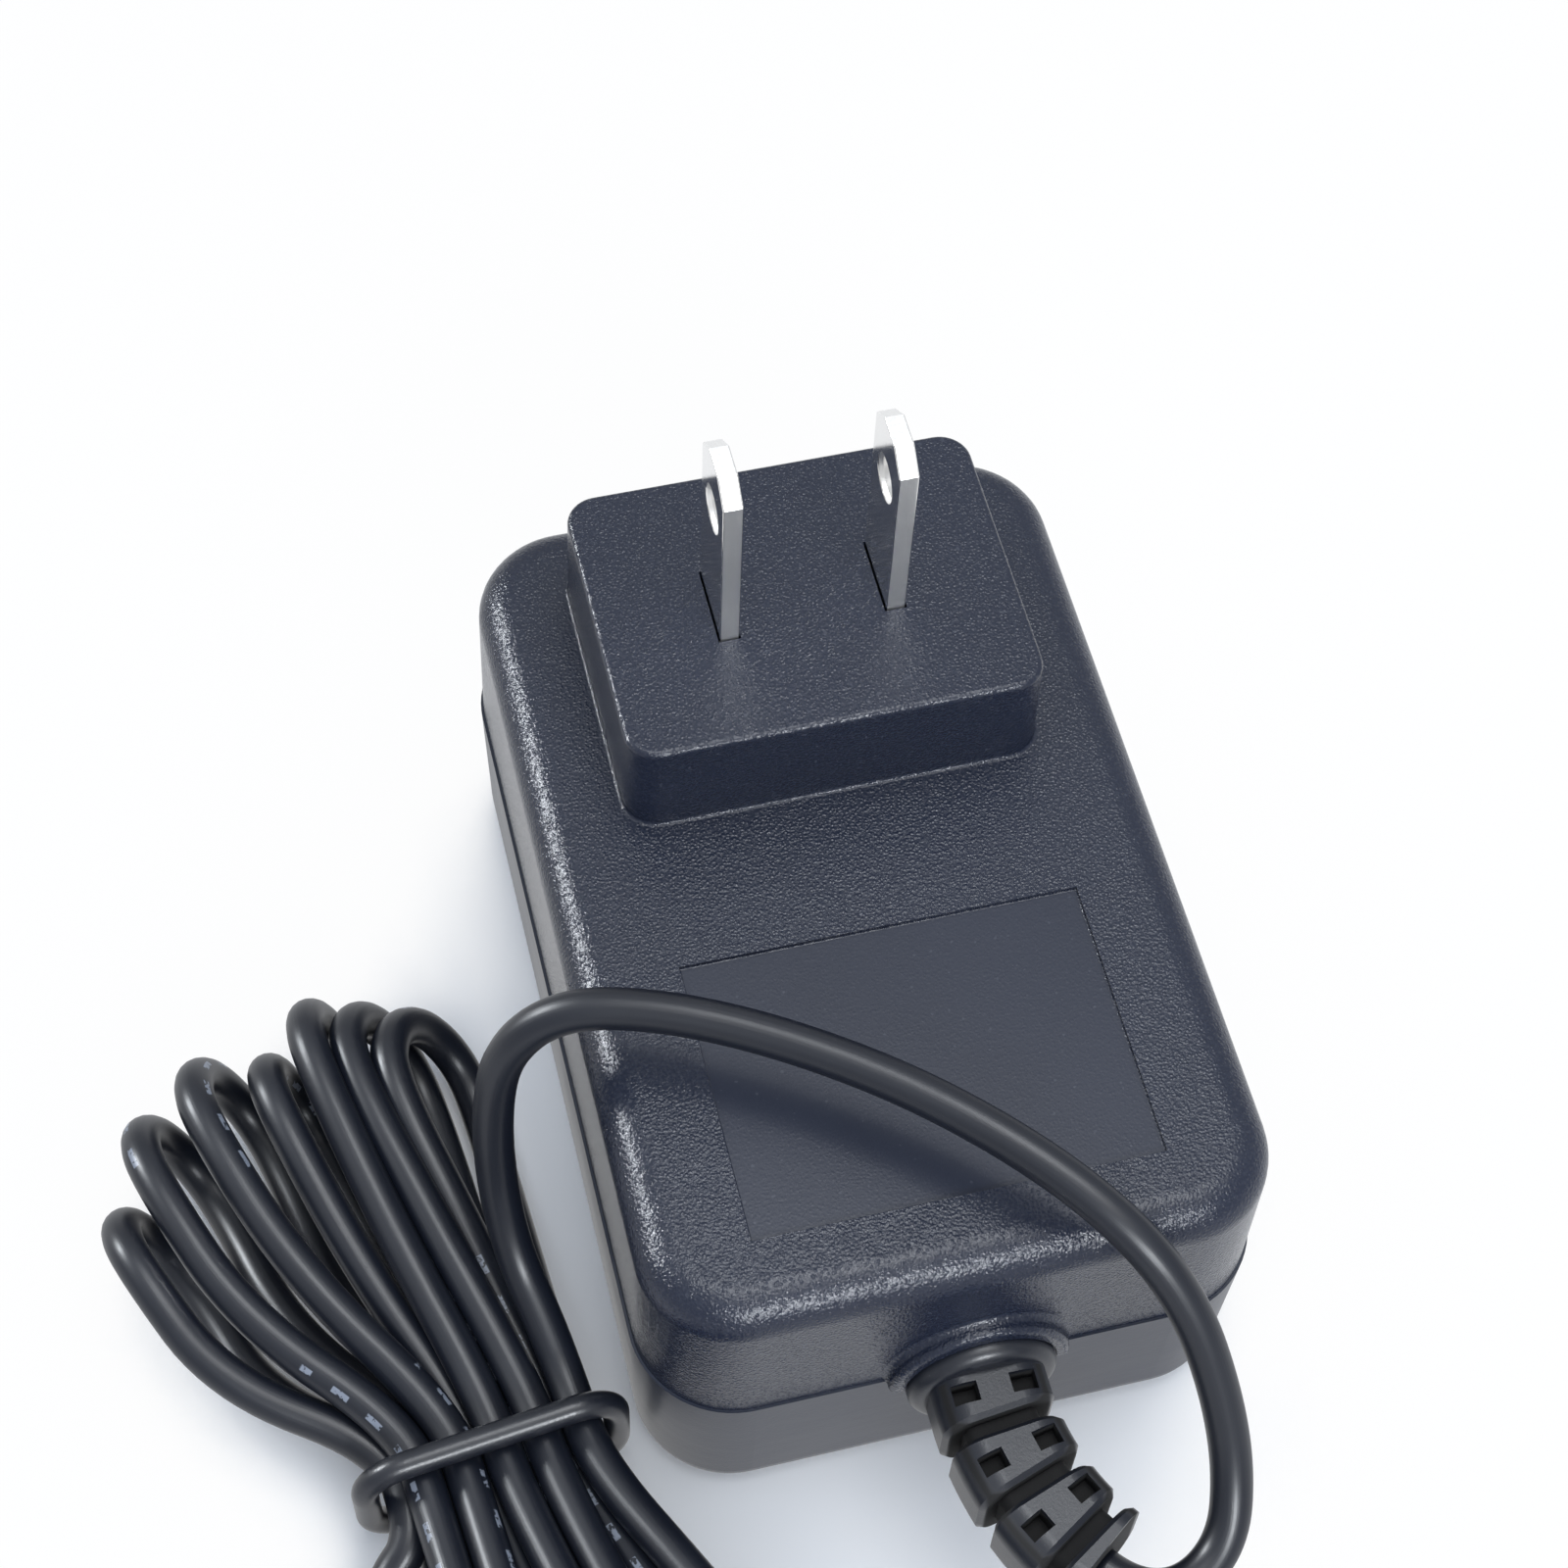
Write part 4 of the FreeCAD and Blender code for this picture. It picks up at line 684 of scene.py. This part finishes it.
def insulating_film():
    shader = Shader("insulating_film", Specular_IOR_Level=0.5)
    creases = shader.noise(60.0, 4.0, 0.6)
    streaks = shader.noise(500.0, 3.0, 0.6, shader.stretched(1.0, 8.0, 1.0))
    shader.set(Base_Color=shader.mix(streaks, colour(0.02, 0.02, 0.024), colour(0.045, 0.045, 0.052)))
    shader.set(Roughness=0.4 + (streaks - 0.5) * 0.2)
    shader.relief((creases, 0.3 * MM), (streaks, 0.01 * MM))
    return shader


dress(["circuit_board"], laminate())
dress(["insulation_sheet"], insulating_film())

# %% [markdown]
# The chips and power devices are epoxy mouldings with a fine eroded surface and a round mark where they were
# pushed out of the mould. Their legs and tabs are part of the same solid, so one material tells by position
# where the metal shows, in place of a second one on chosen faces.

# %% Epoxy packages


def epoxy(name, dark, pale, mark, metal=None):
    """mark is the middle of the mould mark, as two axes and their places; metal tells where metal shows."""
    shader = Shader(name, Specular_IOR_Level=0.5)
    grit = shader.noise(5200.0, 3.0, 0.65)
    broad = shader.noise(220.0, 3.0)
    axes = shader.axes()
    (first, first_place), (second, second_place) = mark
    over = (axes[first] - first_place * MM).power(2.0)
    along = (axes[second] - second_place * MM).power(2.0)
    apart = (over + along).power(0.5)
    pit = 1.0 - apart.step(0.55 * MM, 0.62 * MM)
    base = shader.mix(broad, dark, pale)
    roughness = 0.52 + (broad - 0.5) * 0.1 - pit * 0.15
    if metal:
        bare = metal(shader)
        base = shader.mix(bare, base, colour(0.66, 0.66, 0.67))
        roughness = roughness - bare * 0.2
        shader.set(Metallic=bare)
    shader.set(Base_Color=base, Roughness=roughness)
    shader.relief((1.0 - pit, 0.08 * MM), (grit, 0.014 * MM))
    return shader


def tabs_and_legs(shader):
    x, y, z = shader.axes()
    tab = x.step(16.10 * MM, 16.14 * MM) * z.step(10.8 * MM, 10.85 * MM)
    legs = 1.0 - z.step(10.75 * MM, 10.8 * MM)
    return 1.0 - (1.0 - tab) * (1.0 - legs)


BLACK = (colour(0.018, 0.018, 0.02), colour(0.03, 0.03, 0.033))
WHITE = (colour(0.62, 0.61, 0.57), colour(0.72, 0.71, 0.67))
dress(["control_chip"], epoxy("chip_epoxy", *BLACK, ((0, -15.6), (1, -15.0))))
dress(["bridge_rectifier"], epoxy("bridge_epoxy", *BLACK, ((0, -5.2), (1, 12.4))))
dress(["optocoupler"], epoxy("coupler_epoxy", *WHITE, ((0, -16.6), (1, -20.3))))
dress(["switching_transistor"], epoxy("switch_epoxy", *BLACK, ((1, 0.0), (2, 18.2)), tabs_and_legs))
dress(["output_rectifier"], epoxy("rectifier_epoxy", *BLACK, ((1, -19.3), (2, 18.2)), tabs_and_legs))

# %% [markdown]
# The cans wear shrink sleeves with a plain pale stripe down one side. Their tops are bare aluminium with a
# stamped cross. The cans stand in pairs, and each pair has one material: the position is folded over, so that
# both cans find themselves in the same place.

# %% Cans


def shrink_sleeve(name, folded, radius, top, dark, pale):
    """folded gives each place relative to the axis of the nearer of two cans."""
    shader = Shader(name, Specular_IOR_Level=0.5)
    across, away, z = folded(shader)
    out = (across.power(2.0) + away.power(2.0)).power(0.5)
    near_top = z.step((top - 0.3) * MM, (top - 0.25) * MM)
    lid = near_top * (1.0 - out.step((radius - 1.0) * MM, (radius - 0.9) * MM))
    cross = (1.0 - abs(across).step(0.16 * MM, 0.24 * MM)) + (1.0 - abs(away).step(0.16 * MM, 0.24 * MM))
    stripe = across.step((radius * 0.86) * MM, (radius * 0.87) * MM)
    film = shader.noise(300.0, 3.0)
    wrinkles = shader.noise(400.0, 3.0, 0.6, shader.stretched(1.0, 1.0, 0.25))
    sleeve = shader.mix(stripe * 0.7, shader.mix(film, dark, pale), colour(0.55, 0.56, 0.58))
    shader.set(Base_Color=shader.mix(lid, sleeve, colour(0.78, 0.79, 0.80)))
    shader.set(Metallic=lid, Roughness=0.26 + lid * 0.14 + (film - 0.5) * 0.1)
    shader.relief((1.0 - lid * cross, 0.15 * MM), (wrinkles, 0.02 * MM))
    return shader


def bulk_axes(shader):
    x, y, z = shader.axes()
    return (x + 13.5 * MM) * -1.0, abs(y - 4.01 * MM) - 5.5 * MM, z


def output_axes(shader):
    x, y, z = shader.axes()
    return (y + 19.5 * MM) * -1.0, abs(x) - 4.5 * MM, z


BLUE_SLEEVE = (colour(0.012, 0.02, 0.06), colour(0.02, 0.032, 0.085))
GREEN_SLEEVE = (colour(0.012, 0.07, 0.035), colour(0.02, 0.10, 0.05))
dress(["bulk_capacitor_a", "bulk_capacitor_b"],
      shrink_sleeve("bulk_sleeve", bulk_axes, 5.0, 23.3, *BLUE_SLEEVE))
dress(["output_capacitor_a", "output_capacitor_b"],
      shrink_sleeve("output_sleeve", output_axes, 4.0, 19.8, *GREEN_SLEEVE))

# %% [markdown]
# The discs are dipped in a glossy coat that runs a little way down their tinned legs. A straight edge between
# coat and tin would look painted, so a slow noise moves its height up and down.

# %% Dipped discs


def dipped_coat(name, dark, pale):
    shader = Shader(name, Specular_IOR_Level=0.5)
    z = shader.axes()[2]
    peel = shader.noise(700.0, 2.0)
    pores = 1.0 - shader.cells(900.0).step(0.03, 0.09)
    hem = z + (shader.noise(300.0, 2.0) - 0.5) * 1.2 * MM
    bare = 1.0 - hem.step(8.6 * MM, 8.7 * MM)
    shader.set(Base_Color=shader.mix(bare, shader.mix(peel, dark, pale), colour(0.70, 0.70, 0.71)))
    shader.set(Metallic=bare, Roughness=0.22 + (peel - 0.5) * 0.1 + pores * 0.2)
    shader.relief((peel, 0.08 * MM), (1.0 - pores, 0.04 * MM))
    return shader


dress(["inrush_thermistor"], dipped_coat("green_coat", colour(0.03, 0.075, 0.045), colour(0.05, 0.11, 0.065)))
dress(["safety_capacitor"], dipped_coat("blue_coat", colour(0.02, 0.10, 0.34), colour(0.035, 0.15, 0.45)))

# %% [markdown]
# Ferrite is dull and grainy. The wire on the chokes is lacquered copper. Its turns could be real loops, but
# each winding is one solid here, so a wave in the bump gives one turn beside the next. The transformer's
# winding is covered with yellow tape.

# %% Cores and windings
CHOKE_MIDDLE = (11.0 * MM, 14.5 * MM)
DRUM_MIDDLE = (-11.5 * MM, -25.0 * MM)


def ferrite(name, dark, pale, wire=None):
    """wire tells where wire covers the core and how its turns rise."""
    shader = Shader(name, Specular_IOR_Level=0.5)
    grains = shader.noise(2600.0, 4.0, 0.7)
    chips = 1.0 - shader.cells(700.0).step(0.05, 0.12)
    base = shader.mix(grains, dark, pale)
    roughness = 0.55 + (grains - 0.5) * 0.2
    layers = [(grains, 0.02 * MM), (1.0 - chips, 0.03 * MM)]
    if wire:
        covered, turns = wire(shader)
        base = shader.mix(covered, base, copper_tone(shader))
        roughness = roughness - covered * 0.3
        layers.append((covered * turns, 0.12 * MM))
        shader.set(Metallic=covered * 0.8)
    shader.set(Base_Color=base, Roughness=roughness)
    shader.relief(*layers)
    return shader


def copper_tone(shader):
    return shader.mix(shader.noise(500.0, 3.0), colour(0.42, 0.14, 0.045), colour(0.58, 0.23, 0.08))


def drum_turns(shader):
    x, y, z = shader.axes()
    out = ((x - DRUM_MIDDLE[0]).power(2.0) + (y - DRUM_MIDDLE[1]).power(2.0)).power(0.5)
    middle = z.step(8.1 * MM, 8.16 * MM) * (1.0 - z.step(14.44 * MM, 14.5 * MM))
    return middle * (1.0 - out.step(3.15 * MM, 3.25 * MM)), z.wave(0.4 * MM)


def lacquered_wire():
    shader = Shader("lacquered_wire", Coat_Weight=0.5, Coat_Roughness=0.15)
    x, y, z = shader.axes()
    turn = shader.add("Math", {"operation": "ARCTAN2"}, z - CHOKE_MIDDLE[1], x - CHOKE_MIDDLE[0])
    shader.set(Metallic=0.8, Base_Color=copper_tone(shader))
    shader.set(Roughness=0.3 + (shader.noise(900.0, 2.0) - 0.5) * 0.1)
    shader.relief((turn.wave(math.radians(6.0)), 0.25 * MM))
    return shader


def yellow_tape():
    shader = Shader("yellow_tape", Specular_IOR_Level=0.5)
    x, y, z = shader.axes()
    wires = y.wave(0.55 * MM)
    overlap = (x - 5.4 * MM).step(0.0, 0.05 * MM)
    creases = shader.noise(350.0, 3.0, 0.6, shader.stretched(1.0, 3.0, 1.0))
    tone = creases * 0.7 + wires * 0.3
    shader.set(Base_Color=shader.mix(tone, colour(0.62, 0.42, 0.04), colour(0.76, 0.56, 0.09)))
    shader.set(Roughness=0.24 + (creases - 0.5) * 0.14)
    shader.relief((wires, 0.05 * MM), (creases, 0.05 * MM), (overlap, 0.06 * MM))
    return shader


GREY = (colour(0.04, 0.04, 0.045), colour(0.075, 0.075, 0.08))
dress(["transformer_core_front", "transformer_core_rear"], ferrite("core_ferrite", *GREY))
dress(["output_choke"], ferrite("drum_ferrite", *GREY, drum_turns))
dress(["choke_core"], ferrite("painted_ferrite", colour(0.045, 0.13, 0.075), colour(0.07, 0.18, 0.11)))
dress(["choke_winding_a", "choke_winding_b"], lacquered_wire())
dress(["transformer_winding"], yellow_tape())

# %% [markdown]
# The heat sinks are bent aluminium sheet. Noise that is stretched along one axis gives the grain of the mill,
# with no need for brushed metal's special gloss. The wires have plain drawn jackets, stripped and tinned
# where they go into the board.

# %% Sinks and wires


def mill_sheet():
    shader = Shader("mill_sheet", Metallic=1.0)
    grain = shader.noise(900.0, 4.0, 0.7, shader.stretched(6.0, 0.3, 6.0))
    stains = shader.noise(180.0, 3.0)
    shader.set(Base_Color=shader.mix(stains, colour(0.72, 0.73, 0.74), colour(0.84, 0.85, 0.86)))
    shader.set(Roughness=0.34 + (grain - 0.5) * 0.25 + (stains - 0.5) * 0.1)
    shader.relief((grain, 0.008 * MM))
    return shader


def wire_jacket(name, dark, pale):
    shader = Shader(name, Specular_IOR_Level=0.5)
    z = shader.axes()[2]
    lines = shader.noise(1400.0, 3.0, 0.6, shader.stretched(1.0, 1.0, 0.1))
    bare = 1.0 - z.step(7.6 * MM, 7.65 * MM)
    shader.set(Base_Color=shader.mix(bare, shader.mix(lines, dark, pale), colour(0.70, 0.70, 0.71)))
    shader.set(Metallic=bare, Roughness=0.36 + (lines - 0.5) * 0.14)
    shader.relief((lines, 0.015 * MM))
    return shader


dress(["primary_heat_sink", "secondary_heat_sink"], mill_sheet())
BROWN_JACKET = (colour(0.09, 0.035, 0.016), colour(0.13, 0.05, 0.024))
RED_JACKET = (colour(0.34, 0.012, 0.01), colour(0.45, 0.02, 0.018))
BLACK_JACKET = (colour(0.012, 0.012, 0.013), colour(0.02, 0.02, 0.022))
dress(["input_wire_left", "input_wire_right"], wire_jacket("brown", *BROWN_JACKET))
dress(["output_wire_left"], wire_jacket("red", *RED_JACKET))
dress(["output_wire_right"], wire_jacket("black", *BLACK_JACKET))

# %% [markdown]
# The bench is a plain pale floor. More light could make it white, but it would burn out the object too. So
# the camera sees it plain white where nothing stands within a few centimetres, and sees its shadow near the
# object. Glossy surfaces see it nearly white as well.

# %% Bench
BENCH_REACH = 3.0
SHADOW_REACH = 0.03
SHADE_START, SHADE_END = 0.45, 0.66
NEAR_SIDE = (-0.045, -0.025)
NEAR_SIDE_SHADE = 0.10
WHITE_IN_GLOSS = 0.75
WHITE_IN_SHADOW = 0.1
WHITE_IN_OPEN = 0.85


def bench():
    """A wide pale floor with its own material."""
    reach = BENCH_REACH
    mesh = bpy.data.meshes.new("floor")
    corners = [(-reach, -reach, 0), (reach, -reach, 0), (reach, reach, 0), (-reach, reach, 0)]
    mesh.from_pydata(corners, [], [(0, 1, 2, 3)])
    floor = bpy.data.objects.new("floor", mesh)
    bpy.context.scene.collection.objects.link(floor)
    shader = Shader("pale_bench", Roughness=0.9, Specular_IOR_Level=0.1)
    shader.set(Base_Color=shader.mix(shader.noise(3.0), colour(0.90, 0.935, 0.98), colour(0.91, 0.945, 0.99)))
    y = shader.axes()[1]
    near_side = 1.0 - y.step(*NEAR_SIDE)
    occluded = shader.add("AmbientOcclusion", {}, None, SHADOW_REACH, output=1)
    openness = occluded - near_side * NEAR_SIDE_SHADE
    far = openness.step(SHADE_START, SHADE_END)
    shine = shader.tree.nodes.new("ShaderNodeEmission")
    shine.inputs["Strength"].default_value = 1.0
    paths = shader.tree.nodes.new("ShaderNodeLightPath")
    glossy = Value(shader, paths.outputs["Is Glossy Ray"])
    clear = Value(shader, paths.outputs["Is Transmission Ray"])
    seen = Value(shader, paths.outputs["Is Camera Ray"])
    choice = shader.tree.nodes.new("ShaderNodeMixShader")
    link = shader.tree.links.new
    reflected = glossy.combine("MAXIMUM", clear) * WHITE_IN_GLOSS
    shader.join(reflected + seen * (WHITE_IN_SHADOW + far * WHITE_IN_OPEN), choice.inputs[0])
    link(shader.surface.outputs[0], choice.inputs[1])
    link(shine.outputs[0], choice.inputs[2])
    link(choice.outputs[0], shader.tree.nodes["Material Output"].inputs["Surface"])
    mesh.materials.append(shader.material)
    return floor


bench()
print(f"bench {2 * BENCH_REACH} m wide")

# %% [markdown]
# A soft panel overhead and one in front light the object. Three small ones only make the shine: near for the
# cover's front edge, left for its left edge and high for the lead. One lamp could do both, but what makes the
# shine is too small for soft shadows, and what makes soft shadows is too wide for a narrow shine.

# %% Lamps
LIT_PLACE = (0, 0, 0.02)
WARM = (1.0, 0.97, 0.92)
PLAIN = (1.0, 1.0, 1.0)
COOL = (0.92, 0.96, 1.0)


def area_light(name, position, width, height, power, tint):
    data = bpy.data.lights.new(name, "AREA")
    data.shape = "RECTANGLE"
    data.size = width
    data.size_y = height
    data.energy = power
    data.color = tint
    light = bpy.data.objects.new(name, data)
    bpy.context.scene.collection.objects.link(light)
    light.location = position
    light.rotation_euler = (Vector(LIT_PLACE) - Vector(position)).to_track_quat("-Z", "Y").to_euler()
    print(f"{name}: {power} W")
    return light


area_light("overhead", (0.10, -0.05, 0.80), 0.5, 0.5, 1.6, WARM)
area_light("front", (0.10, -0.85, 0.50), 0.7, 0.4, 4.0, PLAIN).visible_glossy = False
area_light("near_shine", (0.04, -0.64, 0.42), 0.15, 0.11, 4.6, COOL).visible_diffuse = False
area_light("left_shine", (-0.62, 0.42, 0.42), 0.14, 0.14, 7.0, COOL).visible_diffuse = False
area_light("high_shine", (0.05, 0.05, 0.75), 0.22, 0.22, 1.6, COOL).visible_diffuse = False

# %% [markdown]
# The sky is a soft blue-white that is darker near the horizon, which models the sides of the housing. An
# image of a studio could give this too, but it would need a file. The camera sees plain white in its place,
# and so does light that comes through something. Gloss sees a mix of the two.

# %% Surroundings
SKY_HEIGHTS = (0.1, 0.85)
SKY_STRENGTHS = (0.1, 0.95)
WHITE_SKY_IN_GLOSS = 0.45


def surroundings():
    """A graded sky for the light, and plain white for the camera."""
    world = bpy.data.worlds.new("surroundings")
    bpy.context.scene.world = world
    world.use_nodes = True
    nodes_of = world.node_tree.nodes
    link = world.node_tree.links.new
    white = nodes_of["Background"]
    white.inputs["Color"].default_value = colour(1.0, 1.0, 1.0)
    white.inputs["Strength"].default_value = 1.0
    soft = nodes_of.new("ShaderNodeBackground")
    soft.inputs["Color"].default_value = colour(0.80, 0.88, 1.0)
    direction = nodes_of.new("ShaderNodeTexCoord")
    height = nodes_of.new("ShaderNodeSeparateXYZ")
    strength = nodes_of.new("ShaderNodeMapRange")
    for socket, value in zip(strength.inputs[1:5], SKY_HEIGHTS + SKY_STRENGTHS):
        socket.default_value = value
    link(direction.outputs["Generated"], height.inputs[0])
    link(height.outputs["Z"], strength.inputs["Value"])
    link(strength.outputs[0], soft.inputs["Strength"])
    paths = nodes_of.new("ShaderNodeLightPath")
    choice = nodes_of.new("ShaderNodeMixShader")
    partly = nodes_of.new("ShaderNodeMath")
    partly.operation = "MULTIPLY"
    partly.inputs[1].default_value = WHITE_SKY_IN_GLOSS
    link(paths.outputs["Is Glossy Ray"], partly.inputs[0])
    plain = paths.outputs["Is Camera Ray"]
    for other in (partly.outputs[0], paths.outputs["Is Transmission Ray"]):
        either = nodes_of.new("ShaderNodeMath")
        either.operation = "MAXIMUM"
        link(plain, either.inputs[0])
        link(other, either.inputs[1])
        plain = either.outputs[0]
    link(plain, choice.inputs[0])
    link(soft.outputs[0], choice.inputs[1])
    link(white.outputs[0], choice.inputs[2])
    link(choice.outputs[0], nodes_of["World Output"].inputs["Surface"])


surroundings()
